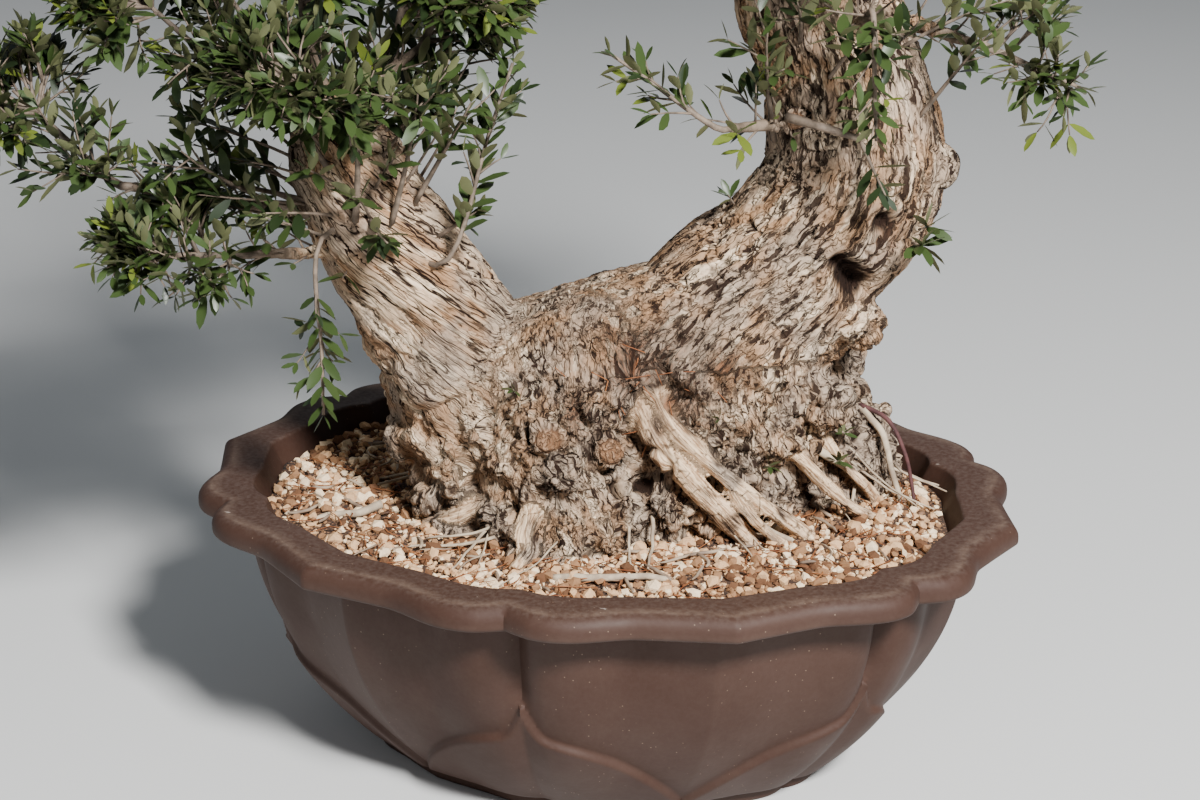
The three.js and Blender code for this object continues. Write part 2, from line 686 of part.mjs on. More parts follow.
// One mass of foliage: a stem, twigs that leave it at the golden angle, and leaves in pairs on them.
function foliageSolid(mass, isShoot, carrier, limbs, seed) {
  const random = seededRandom(seed);
  const stem = massStem(mass, carrier);
  const entry = entryOf(mass, stem.curve);
  const twigs = [];
  const leaves = [];

  const addLeaf = (root, heading, size) => {
    const lean = splayed(UP, Math.PI / 2, random() * FULL_TURN);
    const facing = UP.clone().addScaledVector(lean, LEAF_LEAN);
    if (!leafAllowed(mass, limbs, root, heading, facing, size)) return;
    const leaf = solidOf(leafGeometry(root, heading, facing, size));
    if (leaves.every((other) => other.intersect(leaf).isEmpty())) leaves.push(leaf);
  };
  const addPair = (place, axis, turn, size) => {
    for (const half of [0, Math.PI]) {
      const tilt = degToRad(LEAF_TILT + LEAF_TILT_RANGE * random());
      addLeaf(place, splayed(axis, tilt, turn + half), size * (0.85 + 0.2 * random()));
    }
  };
  const addStemPairs = (count) => {
    for (let pair = 0; pair < count; pair++) {
      const along = lerp(entry, 0.97, (pair + 0.5) / count);
      const place = stem.curve.getPointAt(along);
      addPair(place, stem.curve.getTangentAt(along), pair * 1.6, SHOOT_LEAF);
    }
  };
  const addTwig = (target, turn) => {
    const root = stem.curve.getPointAt(nearestAlong(stem.curve, target, entry));
    const heading = target.clone().sub(root).normalize();
    const reach = reachWithin(mass, root, heading) - LEAF_LENGTH * 0.75;
    const end = root.clone().addScaledVector(heading, reach);
    const halfway = root.clone().lerp(end, 0.5);
    if (reach < SHORTEST_TWIG || !clearOfLimbs(end, limbs) || !clearOfLimbs(halfway, limbs)) return;
    twigs.push(solidOf(twigGeometry(root, end)));
    addLeaf(end.clone().addScaledVector(heading, -6), heading, 1);
    for (let pair = 0; pair < LEAF_PAIRS; pair++) {
      addPair(root.clone().lerp(end, 0.92 - (0.66 * pair) / LEAF_PAIRS), heading, pair * 1.3 + turn, 1);
    }
  };

  if (isShoot) {
    addStemPairs(mass.leaves / 2);
  } else {
    const count = Math.ceil(mass.leaves / (1 + 2 * LEAF_PAIRS)) + 1;
    for (let i = 0; i < 3 * count && leaves.length < mass.leaves; i++) {
      const share = (i * GOLDEN_SHARE + 0.5 / count) % 1;
      addTwig(placeOnSkin(mass, share, i * GOLDEN_ANGLE + random()), i);
    }
  }
  let solid = stem.solid;
  for (const piece of [...twigs, ...leaves]) solid = solid.add(piece);
  if (mass.at !== undefined) solid = solid.subtract(limbRoom(carrier));
  return largestBody(solid);
}

function plant() {
  const tree = new THREE.Group();
  tree.rotation.z = TREE_TURN;
  const limbs = new Map();
  const partings = [];
  for (const [side, sizes] of Object.entries(LIMBS)) {
    limbs.set(side, limbFrom(sizes));
    partings.push(parting(limbs.get(side), sizes.parting));
  }
  tree.add(meshOf(trunkSolid(partings), "trunk", "bark"));
  for (const [side, limb] of limbs) {
    const { kept } = partings.find((one) => one.limb === limb);
    tree.add(meshOf(largestBody(limbSolid(limb).intersect(kept)), `${side}_limb`, "bark"));
  }
  for (const [name, sizes] of Object.entries(BOUGHS)) {
    const parent = limbs.get(limbOf(name));
    const bough = boughFrom(sizes, parent);
    tree.add(meshOf(largestBody(limbSolid(bough).subtract(limbRoom(parent))), `bough_${name}`, "bough"));
    limbs.set(name, bough);
  }
  for (const limb of limbs.values()) limb.beads = stringOfBeads(limb);
  Object.entries(MASSES).forEach(([name, mass], index) => {
    const carrier = limbs.get(mass.at === undefined ? name : limbOf(name));
    const solid = foliageSolid(mass, SHOOTS.includes(name), carrier, limbs, FIRST_SEED + index);
    tree.add(meshOf(solid, `foliage_${name}`, "foliage"));
  });
  return tree;
}

const bonsai = new THREE.Group();
bonsai.add(pot(), soil(), plant());

export default bonsai;
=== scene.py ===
# An old olive bonsai in a large lobed pot: a burly base that forks into two limbs, with the furrowed
# bark, the open crowns of young shoots, the grit and the stoneware pot. Tables are in millimetres,
# in the tree's own frame: origin under the middle of the pot, Z up, turned in plan by TREE_TURN.
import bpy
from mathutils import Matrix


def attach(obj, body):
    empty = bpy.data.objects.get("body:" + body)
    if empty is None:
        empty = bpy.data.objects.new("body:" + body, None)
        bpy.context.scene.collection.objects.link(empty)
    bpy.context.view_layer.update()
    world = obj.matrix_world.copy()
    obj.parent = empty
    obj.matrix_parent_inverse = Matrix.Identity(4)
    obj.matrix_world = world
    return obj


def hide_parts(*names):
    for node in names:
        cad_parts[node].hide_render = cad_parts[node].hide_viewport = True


bl_info = {
    "name": "Olive Bonsai",
    "version": (1, 0, 0),
    "blender": (4, 5, 0),
    "location": "3D View > Sidebar > Bonsai",
    "description": "Builds an old olive bonsai in a lobed stoneware pot",
    "category": "Add Mesh",
}

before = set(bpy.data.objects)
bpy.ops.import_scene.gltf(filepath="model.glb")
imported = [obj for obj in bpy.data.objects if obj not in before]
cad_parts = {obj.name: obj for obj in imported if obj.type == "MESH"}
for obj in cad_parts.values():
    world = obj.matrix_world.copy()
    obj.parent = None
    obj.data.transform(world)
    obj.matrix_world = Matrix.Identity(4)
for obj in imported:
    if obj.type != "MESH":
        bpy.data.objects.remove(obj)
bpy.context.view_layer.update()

import math

import bmesh
import bpy
import numpy as np
from bpy.props import FloatProperty, FloatVectorProperty, IntProperty, PointerProperty
from mathutils import Vector

MM = 0.001

# Pot
POT_HALF_LENGTH = 439
POT_HALF_DEPTH = 354
POT_HEIGHT = 285
RIM_HEIGHT = 25
RIM_WIDTH = 57
RIM_ROUNDING = 14
RIM_LIP = 6
RIM_INNER_EDGE = 4
WALL = 17
WALL_SHARE = 0.88
WALL_CURVE = 2.2
FLOOR = 38
FOOT_SHARE = 0.61
FOOT_HEIGHT = 18
FOOT_SET_BACK = 6
FOOT_EDGE = 4
SOIL_TOP = 262
POT_SEGMENTS = 660
WALL_ROWS = 98
EDGE_ROWS = 6

# The pot's plan, as shares of its size, and as positions from 0 at a corner to 1 at a notch
LOBES = 6
LOBE_MIDDLE = 0.965
CORNER_POINT = 0.04
CORNER_ENDS = 0.5
LOBE_BUMP = 0.046
BUMP_POSITION = 0.78
BUMP_REACH = 0.38
NOTCH_CUT = 0.014
NOTCH_REACH = 0.12
FOOT_LOBING = 0.45
INNER_LOBING = 0.5
PETAL_TOP = 158
PETAL_SHOULDER = 0.74
PETAL_CURVE = 1.7
PETAL_TIP = 0.14
PETAL_RAISE = 8
PETAL_EDGE = 9
NOTCH_GROOVE = 6
GROOVE_WIDTH = 9

# Tree
TREE_TURN = math.radians(16.3)
FLARE_HEIGHT = 190
FLARE_CURVE = 1.6
BARK_CELL = 2.8
BARK_SMOOTHING = 4
BARK_BUMP = 3.8
GAP = 0.3

# The limbs: where each parts from the trunk, as a share of its length, and its places and radii
LIMBS = {
    "left": {
        "parting": 0.42,
        "stations": [
            (-80, 10, 290, 100),
            (-121, 8, 352, 92),
            (-167, 4, 447, 80),
            (-206, 0, 523, 71),
            (-243, -4, 588, 67),
            (-267, -8, 646, 58),
            (-276, -8, 690, 38),
        ],
    },
    "right": {
        "parting": 0.27,
        "stations": [
            (80, 30, 290, 140),
            (96, 28, 375, 134),
            (146, 24, 462, 112),
            (206, 20, 532, 92),
            (254, 18, 612, 95),
            (250, 18, 687, 86),
            (232, 16, 749, 80),
            (211, 14, 799, 78),
            (192, 12, 900, 66),
            (180, 8, 990, 52),
            (172, 4, 1060, 38),
        ],
    },
}

# The base: height, middle, half length and half depth of each ring
BASE_TURN = math.radians(12)
BASE_TOP = 12
BASE_RINGS = [
    (SOIL_TOP - 12, 56, 30, 262, 118),
    (SOIL_TOP + 24, 53, 28, 256, 116),
    (330, 42, 26, 252, 112),
    (380, 32, 24, 244, 108),
    (430, 30, 22, 238, 104),
    (476, 76, 22, 188, 98),
    (505, 128, 22, 134, 88),
    (526, 166, 20, 84, 66),
]
# Buttresses of the root flare: direction, width in degrees, how far out
BUTTRESSES = [(-120, 24, 82), (-68, 13, 16), (-4, 14, 14), (62, 20, 26), (118, 22, 34), (172, 15, 16)]
# Roots: start direction and height, end direction and reach, radius
ROOTS = [
    (-128, 30, -124, 264, 14),
    (-146, 30, -158, 262, 11),
    (52, 44, 42, 228, 13),
    (92, 48, 104, 200, 15),
    (138, 40, 152, 240, 12),
]

# The peeled roots at the front and right, which stand clear of the base: places, radii at both ends
CLEAR_ROOTS = [
    ([(36, -80, 400), (58, -112, 364), (118, -120, 298), (152, -106, 256)], (15, 11)),
    ([(46, -76, 420), (72, -110, 382), (160, -112, 304), (214, -94, 256)], (13, 8)),
    ([(118, -112, 338), (150, -126, 294), (170, -120, 272), (186, -112, 256)], (8, 5)),
    ([(164, -44, 364), (200, -68, 336), (256, -58, 280), (288, -42, 256)], (10, 6)),
    ([(222, -14, 352), (250, -22, 314), (280, -8, 276), (292, 2, 256)], (8, 5)),
]
# Burls of the solids: the middle and the radius of each, half sunk in the base
BURLS = [
    (-5, -80, 404, 30),
    (67, -90, 290, 34),
    (-108, -104, 284, 26),
    (-45, -122, 292, 25),
    (-86, -84, 334, 28),
    (98, -84, 372, 28),
    (176, -58, 356, 30),
    (226, -20, 380, 32),
    (96, 142, 330, 34),
    (8, 116, 390, 34),
    (-96, 86, 326, 34),
    (188, 104, 382, 32),
    (246, 62, 318, 34),
    (-196, -8, 340, 34),
]
# Lesser knobs on the base and on the right limb
KNOBS = [
    (-44, -150, 270, 14),
    (28, -88, 424, 20),
    (334, -4, 630, 26),
    (262, -24, 470, 30),
    (150, -56, 420, 26),
    (14, -104, 300, 18),
    (-20, -96, 372, 16),
    (120, -84, 330, 18),
]

# Boughs: place along the limb, tip, bow, radii at start and tip
BOUGHS = {
    "left_outer": (0.74, (-480, -18, 612), -6, (11, 7)),
    "left_low": (0.7, (-352, -56, 552), -10, (10, 6.5)),
    "left_high": (0.84, (-362, 20, 704), 12, (11, 7)),
    "left_top": (0.95, (-294, -18, 756), 4, (10, 6.5)),
    "left_front": (0.88, (-290, -92, 706), 12, (10, 6.5)),
    "left_inner": (0.92, (-196, 8, 742), 16, (10, 6.5)),
    "left_back": (0.8, (-330, 98, 690), 14, (11, 7)),
    "left_back_inner": (0.88, (-222, 100, 736), 14, (10, 6.5)),
    "right_leader": (0.99, (180, 2, 1150), 0, (28, 12)),
    "right_left": (0.86, (62, -20, 1068), 22, (28, 11)),
    "right_left_low": (0.74, (44, 50, 904), 20, (20, 9)),
    "right_right": (0.8, (320, 22, 1046), 18, (30, 11)),
    "right_right_low": (0.7, (372, -12, 886), 24, (22, 9)),
    "right_front": (0.78, (212, -140, 968), 20, (22, 9)),
    "right_back": (0.76, (196, 160, 966), 22, (24, 9)),
    "right_shoulder": (0.6, (354, -44, 768), 26, (13, 7)),
    "right_stub": (0.49, (122, -96, 692), 12, (12, 6.5)),
    "right_breast": (0.6, (252, -112, 808), 8, (12, 6.5)),
}

# Foliage masses: middle and half sizes of each one's space, leaves of the rule, and for a shoot
# from the limb itself its place along the limb and its turn
MASSES = {
    "left_outer": ((-560, -20, 680), (112, 100, 112), 16),
    "left_low": ((-424, -84, 560), (104, 88, 84), 15),
    "left_high": ((-446, 22, 778), (126, 116, 122), 18),
    "left_top": ((-300, -18, 886), (124, 118, 126), 18),
    "left_front": ((-292, -134, 742), (108, 84, 92), 14),
    "left_inner": ((-150, 10, 838), (104, 106, 116), 16),
    "left_back": ((-392, 184, 752), (116, 104, 106), 12),
    "left_back_inner": ((-206, 188, 820), (108, 96, 106), 11),
    "left_upright": ((-114, -54, 680), (56, 54, 104), 14, 0.66, -50),
    "left_hanging": ((-284, -104, 458), (56, 50, 80), 12, 0.72, -122),
    "right_leader": ((184, 0, 1262), (152, 148, 118), 21),
    "right_left": ((-54, -30, 1130), (148, 138, 132), 21),
    "right_left_low": ((-74, 84, 930), (126, 118, 110), 17),
    "right_right": ((424, 34, 1124), (144, 138, 132), 21),
    "right_right_low": ((478, -20, 910), (124, 122, 108), 17),
    "right_front": ((212, -246, 1036), (144, 118, 124), 19),
    "right_back": ((190, 260, 1034), (148, 118, 128), 15),
    "right_shoulder": ((440, -46, 734), (116, 92, 92), 15),
    "right_stub": ((40, -98, 742), (104, 64, 62), 14),
    "right_breast": ((256, -152, 736), (104, 62, 96), 14),
}
SHOOTS = ("left_upright", "left_hanging", "right_stub", "right_breast")

# Open sky within the space of a mass: middle and radius
OPEN_SKY = [(520, -60, 700, 84)]

# The rule that the twigs follow
RULE_LEAF = 68
RULE_PAIRS = 3
RULE_DRAWS = 19
LONGEST_TWIG = 190
SHORTEST_TWIG = 26
TWIG_SLANT = 0.22
STEM_OVERRUN = 0.5
STEM_LEAD = 14
SHOOT_LEAD = 26
SHOOT_RADIUS = 6
SHOOT_THINNING = 0.72
THICK_BOUGH = 10
STEM_ROOTING = 7
FIRST_SEED = 101
SPACE_MARGIN = 0.07
SHOOT_MARGIN = -0.03
SHORTEST_SHOOT = 18
LIMB_CLEARANCE = 5
LIMB_BEADS = 40
GOLDEN_SHARE = 0.618
GOLDEN_ANGLE = math.pi * (3 - math.sqrt(5))

# Marks on the wood: cut stubs, hollows and stains, each at a place with a radius, and for a hollow
# its depth. A wide hollow is rotten, and a deep one is painted dark as its shade.
SCARS = [(-58, -112, 374, 14), (7, -109, 361, 15), (58, -105, 352, 12), (188, -50, 690, 10)]
HOLLOWS = [
    (36, -83, 446, 34, 12),
    (72, -93, 412, 22, 12),
    (40, -104, 318, 9, 14),
    (45, -102, 302, 7, 14),
    (14, -110, 322, 10, 14),
    (236, -70, 546, 12, 20),
    (247, -62, 531, 15, 27),
    (257, -55, 516, 14, 26),
    (281, -68, 586, 12, 18),
    (-20, -112, 344, 10, 12),
    (-84, -112, 352, 9, 10),
    (120, -92, 338, 11, 14),
]
ROTTEN_HOLLOW = 20
SHADED_HOLLOW = 14
STAINS = [
    (30, -83, 444, 58),
    (76, -93, 408, 40),
    (6, -96, 480, 30),
    (120, -90, 440, 26),
    (-30, -96, 398, 26),
    (288, -62, 574, 24),
]

# A leaf's points: shares along and across it, and whether they are raised, for eight points
# round its edge, two on its upper side and two on its lower side
LEAF_EDGE = 8
LEAF_SHARES = np.array([0, 0.2, 0.52, 0.82, 1, 0.82, 0.52, 0.2, 0.34, 0.68, 0.34, 0.68])
LEAF_WIDTHS = np.array([0, 0.62, 1, 0.7, 0, -0.7, -1, -0.62, 0, 0, 0, 0])
LEAF_LIFTS = np.array([0, 0, 0, 0, 0, 0, 0, 0, 1, 1, -1, -1])
LEAF_THICKNESS = 0.011

# The stage
SKY_COLOUR = (0.78, 0.88, 1, 1)
SKY_STRENGTH = 0.17
CAMERA_PLACE = (0.6942, -2.3911, 1.2907)
CAMERA_TILT = math.radians(69.8)
CAMERA_LENS = 75.45
CAMERA_SENSOR = 36

# Seeds of the noise and of the random draws
BARK_SEED = 11
CRUMB_SEED = 29
LUMP_SEED = 7
ROOT_SEEDS = (41, 43)
CROWN_SEEDS = {"left": 61, "right": 67}
SOIL_SEED = 71
GRIT_SEED = 83
EARTH_SEED = 53
LITTER_SEED = 97

# How finely the wood and the soil are divided before they are worked
BASE_ROWS, BASE_SEGMENTS = 40, 160
LIMB_ROWS, LIMB_SIDES = 90, 56
BOUGH_ROWS, BOUGH_SIDES = 22, 16
ROOT_ROWS, ROOT_SIDES = 18, 12
SOIL_ROWS, SOIL_SEGMENTS = 76, 240
LUMPS = 120

# Where the wood is parted: left of the side line, and only above these heights
LEFT_SIDE = -75
LEFT_PARTS_ABOVE = 420
RIGHT_PARTS_ABOVE = 360

BODY = "root"
LEFT = [name for name in BOUGHS if name.startswith("left")]
RIGHT = [name for name in BOUGHS if name.startswith("right")]


def tone(red, green, blue):
    """A colour from its screen values of 0 to 255."""
    shares = (value / 255 for value in (red, green, blue))
    return tuple(s / 12.92 if s <= 0.04045 else ((s + 0.055) / 1.055) ** 2.4 for s in shares)


def colour_setting(name, description, red, green, blue):
    return FloatVectorProperty(
        name=name, description=description, subtype="COLOR", min=0, max=1, default=tone(red, green, blue)
    )


def length_setting(name, description, millimetres):
    return FloatProperty(
        name=name, description=description, default=millimetres * MM, unit="LENGTH", precision=4
    )


class BonsaiWoodSettings(bpy.types.PropertyGroup):
    furrow_depth: length_setting("Furrow Depth", "Depth of the furrows between the plates of bark", 5.5)
    burl_height: length_setting("Burl Height", "How far the burls of the base stand out", 10)
    pale_bark: colour_setting("Pale Bark", "Weathered tops of the plates of bark", 238, 212, 180)
    warm_bark: colour_setting("Warm Bark", "Fresh bark between the weathered plates", 160, 124, 92)
    grey_bark: colour_setting("Grey Bark", "Grey bark near the soil and on old plates", 158, 142, 126)
    # The furrow colour is partly the dark bark deep in the furrows and partly painted shade in cracks, gaps,
    # creases and deep hollows
    furrow: colour_setting("Furrow", "The bottom of the furrows", 36, 23, 16)
    stain: colour_setting("Stain", "Rotten wood in the hollows of the base", 122, 80, 54)
    bare_wood: colour_setting("Bare Wood", "Peeled roots and cut stubs", 240, 208, 170)
    young_bark: colour_setting("Young Bark", "Boughs and twigs", 88, 76, 64)
    # The lit side of boughs and twigs: a lighter copy of the young bark, painted light dealt out in soft
    # spots
    lit_shoot_bark: colour_setting("Shoot Bark", "The paler side of boughs and twigs", 126, 110, 95)


class BonsaiFoliageSettings(bpy.types.PropertyGroup):
    leaf_length: length_setting("Leaf Length", "Length of a grown leaf", 37)
    leaf_share: FloatProperty(
        name="Leaf Share",
        description="Width of a leaf as a share of its length",
        default=0.35,
        subtype="FACTOR",
        min=0.1,
        max=1,
    )
    pair_spacing: length_setting("Pair Spacing", "Distance between two pairs of leaves on a twig", 12)
    dark_leaf: colour_setting("Dark Leaf", "Grown leaves in the depth of the crown", 30, 43, 20)
    mid_leaf: colour_setting("Middle Leaf", "Grown leaves", 53, 69, 33)
    young_leaf: colour_setting("Young Leaf", "Leaves at the ends of the shoots", 92, 104, 38)
    underside: colour_setting("Underside", "The pale underside of the leaves", 94, 97, 64)


class BonsaiPotSettings(bpy.types.PropertyGroup):
    clay: colour_setting("Clay", "The fired stoneware", 57, 33, 22)
    # The dust colour is also laid on the rim's top, more thickly than the dust alone would be, as a painted
    # sheen
    dust: colour_setting("Dust", "Lime and dust on the rim and on worn edges", 112, 100, 92)


class BonsaiSoilSettings(bpy.types.PropertyGroup):
    grain_size: length_setting("Grain Size", "Length of a middling grain of the grit", 8)
    grains: IntProperty(name="Grains", description="How many grains lie on the soil", default=6600, min=1)
    needles: IntProperty(name="Needles", description="How many pine needles lie about", default=210, min=0)
    cream: colour_setting("Cream Grains", "The palest grains", 246, 219, 181)
    peach: colour_setting("Peach Grains", "Most of the grains", 212, 171, 129)
    tan: colour_setting("Tan Grains", "The darker grains", 150, 112, 80)
    humus: colour_setting("Humus", "The soil between the grains", 74, 49, 34)
    needle: colour_setting("Needles", "Dry pine needles", 122, 64, 30)


class BonsaiStageSettings(bpy.types.PropertyGroup):
    floor: colour_setting("Floor", "The plain floor", 214, 214, 212)
    key_power: FloatProperty(
        name="Key Power", description="Power of the main light", default=560, unit="POWER", min=0
    )
    fill_power: FloatProperty(
        name="Fill Power", description="Power of the soft light opposite", default=9, unit="POWER", min=0
    )


class Value:
    """An output of a shader node. Sums and products of values add the Math nodes that they need."""

    def __init__(self, finish, socket):
        self.finish = finish
        self.socket = socket

    def _math(self, operation, first, second):
        return self.finish.node("ShaderNodeMath", {"operation": operation}, {0: first, 1: second})

    def __add__(self, other):
        return self._math("ADD", self, other)

    __radd__ = __add__

    def __sub__(self, other):
        return self._math("SUBTRACT", self, other)

    def __rsub__(self, other):
        return self._math("SUBTRACT", other, self)

    def __mul__(self, other):
        return self._math("MULTIPLY", self, other)

    __rmul__ = __mul__

    def __abs__(self):
        return self._math("ABSOLUTE", self, 0.0)


class Finish:
    """A material, built node by node, and the surface that its nodes feed."""

    def __init__(self, name, **sockets):
        self.material = bpy.data.materials.new(name)
        self.material.use_nodes = True
        self.tree = self.material.node_tree
        self.tree.nodes.clear()
        self.surface = self.tree.nodes.new("ShaderNodeBsdfPrincipled")
        output = self.tree.nodes.new("ShaderNodeOutputMaterial")
        self.tree.links.new(self.surface.outputs["BSDF"], output.inputs["Surface"])
        for socket, value in sockets.items():
            self.feed(self.surface.inputs[socket.replace("_", " ").title()], value)

    def feed(self, socket, value):
        if isinstance(value, Value):
            self.tree.links.new(value.socket, socket)
        elif socket.type == "RGBA" and len(value) == 3:
            socket.default_value = (*value, 1)
        else:
            socket.default_value = value

    def set(self, socket, value):
        self.feed(self.surface.inputs[socket], value)

    def node(self, kind, settings=None, inputs=None, output=0):
        made = self.tree.nodes.new(kind)
        for name, value in (settings or {}).items():
            setattr(made, name, value)
        for socket, value in (inputs or {}).items():
            self.feed(made.inputs[socket], value)
        return Value(self, made.outputs[output])

    def place(self):
        return self.node("ShaderNodeTexCoord", output="Object")

    def attribute(self, name, output="Fac"):
        return self.node("ShaderNodeAttribute", {"attribute_name": name}, output=output)

    def warped(self, vector, scale, amount):
        """A vector moved about by noise, so that a pattern read there has no straight edges."""
        inputs = {"Vector": vector, "Scale": scale, "Detail": 2.0, "Roughness": 0.6}
        moves = self.node("ShaderNodeTexNoise", inputs=inputs, output="Color")
        factors = {0: moves, 1: (amount,) * 3, 2: vector}
        return self.node("ShaderNodeVectorMath", {"operation": "MULTIPLY_ADD"}, factors)

    def noise(self, vector, scale, detail=3.0, roughness=0.55, distortion=0.0):
        inputs = dict(Vector=vector, Scale=scale, Detail=detail, Roughness=roughness, Distortion=distortion)
        return self.node("ShaderNodeTexNoise", inputs=inputs)

    def scaled(self, vector, factors):
        return self.node("ShaderNodeVectorMath", {"operation": "MULTIPLY"}, {0: vector, 1: factors})

    def cells(self, vector, scale, feature="F1", output="Distance"):
        inputs = {"Vector": vector, "Scale": scale}
        return self.node("ShaderNodeTexVoronoi", {"feature": feature}, inputs, output)

    def lines(self, vector, scale, thin, thick):
        """Lines that wind and run together: 0 on a line and 1 beside it."""
        return self.span(abs(self.noise(vector, scale, 1.6, 0.5, 0.25) - 0.5), thin, thick)

    def span(self, value, low, high, first=0.0, last=1.0):
        """Runs smoothly from first to last as a value runs from low to high."""
        inputs = {"Value": value, "From Min": low, "From Max": high, "To Min": first, "To Max": last}
        return self.node("ShaderNodeMapRange", {"interpolation_type": "SMOOTHSTEP"}, inputs)

    def mix(self, factor, first, second):
        inputs = {0: factor, 6: first, 7: second}
        return self.node("ShaderNodeMix", {"data_type": "RGBA"}, inputs, 2)

    def bump(self, height, distance, strength=1.0):
        inputs = {"Height": height, "Distance": distance, "Strength": strength}
        self.set("Normal", self.node("ShaderNodeBump", inputs=inputs))


def bark_finish(colours):
    """Weathered bark: pale plates, dark winding furrows, crumbly burls, stains and bare wood, with shade
    painted in the furrows, cracks and deep hollows.
    """
    finish = Finish("olive_bark", roughness=0.9)
    noise, span, mix, lines = finish.noise, finish.span, finish.mix, finish.lines
    finish.set("Specular IOR Level", 0.15)
    grain = finish.attribute("grain", "Vector")
    place = finish.place()
    plate, stain, bare, low, left, base, scar = (
        finish.attribute(name) for name in ("plate", "stain", "bare", "low", "left", "base", "scar")
    )
    fibres = noise(grain, 430, 4, 0.62)
    blotches = noise(grain, 52, 4, 0.62)
    patches = noise(place, 13, 3, 0.6)
    loose = finish.warped(grain, 90, 0.011)

    rounder = finish.scaled(loose, (1, 1, 2.3))
    drawn = finish.scaled(grain, (1, 1, 0.45))
    worn = span(noise(grain, 34, 3, 0.6), 0.34, 0.62)

    long_lines = lines(finish.warped(drawn, 70, 0.005), 94, 0.006, 0.03)
    short_lines = lines(finish.warped(drawn, 140, 0.003), 190, 0.004, 0.04)
    furrowed = long_lines * (0.36 + 0.64 * short_lines)
    flake_tone = finish.cells(loose, 84, output="Color")
    flake_gap = span(finish.cells(loose, 84, "DISTANCE_TO_EDGE"), 0.0, 0.085)
    # The dark gaps between shreds are wider than the real ones, so that they also paint shade, such as that
    # cast by the leaves
    shreds = span(noise(finish.scaled(loose, (1, 1, 0.5)), 158, 5, 0.64), 0.42, 0.48)
    flaked = (1 - worn * (1 - flake_gap) * 0.6) * (0.4 + 0.6 * lines(loose, 96, 0.002, 0.042))
    flaked = flaked * (0.1 + 0.9 * shreds)
    crumb_lines = lines(loose, 88, 0.006, 0.058)
    crumb_lines = crumb_lines * (0.5 + 0.5 * lines(rounder, 150, 0.0, 0.06))
    pits = span(noise(loose, 150, 5, 0.7), 0.38, 0.5)
    ragged = span(noise(place, 24, 2, 0.5), 0.44, 0.58)
    crumbled = crumb_lines * (0.15 + 0.85 * pits) * ragged + flaked * (1 - ragged)
    old = 1 - finish.attribute("young")
    relief = left * furrowed + base * crumbled + (1 - left - base) * flaked
    relief = 1 - (1 - relief) * old * (1 - 0.85 * bare)

    tops = mix(span(blotches, 0.4, 0.6), colours.warm_bark, colours.pale_bark)
    fresh = (1 - 0.45 * left) * span(flake_tone, 0.3, 0.8, 0.85, 0.0)
    varied = mix(fresh, tops, colours.warm_bark)
    greyed = mix(span(patches, 0.42, 0.6) * 0.7 + low * 0.12, varied, colours.grey_bark)
    fibred = mix(span(fibres, 0.28, 0.5, 0.42, 0.0), greyed, colours.furrow)
    # Where the relief is low the bark takes the furrow colour: its own dark bark there, and painted shade
    cut = mix(span(relief, 0.0, 0.85), colours.furrow, fibred)
    wood_tone = mix(span(fibres, 0.36, 0.6), colours.warm_bark, colours.bare_wood)
    peeled = mix(bare * span(blotches + bare * 0.8, 0.6, 0.9), cut, wood_tone)
    rings = finish.node("ShaderNodeMath", {"operation": "PINGPONG"}, {0: scar + fibres * 0.05, 1: 0.1})
    sawn = mix(span(rings, 0.0, 0.1, 0.3, 0.75), colours.stain, colours.warm_bark)
    marked = mix(span(scar, 0.02, 0.24) * 0.68, peeled, sawn)
    # Cracks between plates and the creases round the cut stubs take the furrow colour as painted shade
    sunk = mix(span(plate, 0.0, 0.5, 0.25 + 0.45 * left, 1.0), colours.furrow, marked)
    rotten = mix(span(fibres, 0.4, 0.62) * relief, colours.furrow, colours.stain)
    stained = mix(stain * span(blotches, 0.3, 0.56), sunk, rotten)
    # Deep hollows are painted in the furrow colour: painted shade
    hollows_shaded = mix(finish.attribute("hollow"), stained, colours.furrow)
    # Young bark and its lit copy in soft spots: painted light and shade
    smooth_bark = mix(span(blotches, 0.35, 0.65), colours.young_bark, colours.lit_shoot_bark)
    finish.set("Base Color", mix(old, smooth_bark, hollows_shaded))
    finish.set("Roughness", span(fibres, 0.2, 0.8, 0.97, 0.86))
    height = relief * 0.8 + fibres * (0.3 - 0.15 * bare) + flake_tone * (1 - left) * old * 0.25
    finish.bump(height, BARK_BUMP * MM)
    return finish.material


def two_tone_finish(name, roughness, first, second, scale, detail, grain=None):
    """Two colours in soft spots. A grain is given by its scale, depth and strength."""
    finish = Finish(name, roughness=roughness)
    spots = finish.noise(finish.place(), scale, detail)
    finish.set("Base Color", finish.mix(finish.span(spots, 0.35, 0.65), first, second))
    if grain:
        fineness, depth, strength = grain
        finish.bump(finish.noise(finish.place(), fineness, 3), depth * MM, strength)
    return finish.material


def leaf_finish(name, colour, gloss):
    """A plain leaf colour with a waxy gloss."""
    finish = Finish(name, roughness=gloss, base_color=colour)
    finish.set("Specular IOR Level", 0.36)
    finish.set("Coat Weight", 0.05)
    finish.set("Coat Roughness", 0.3)
    return finish.material


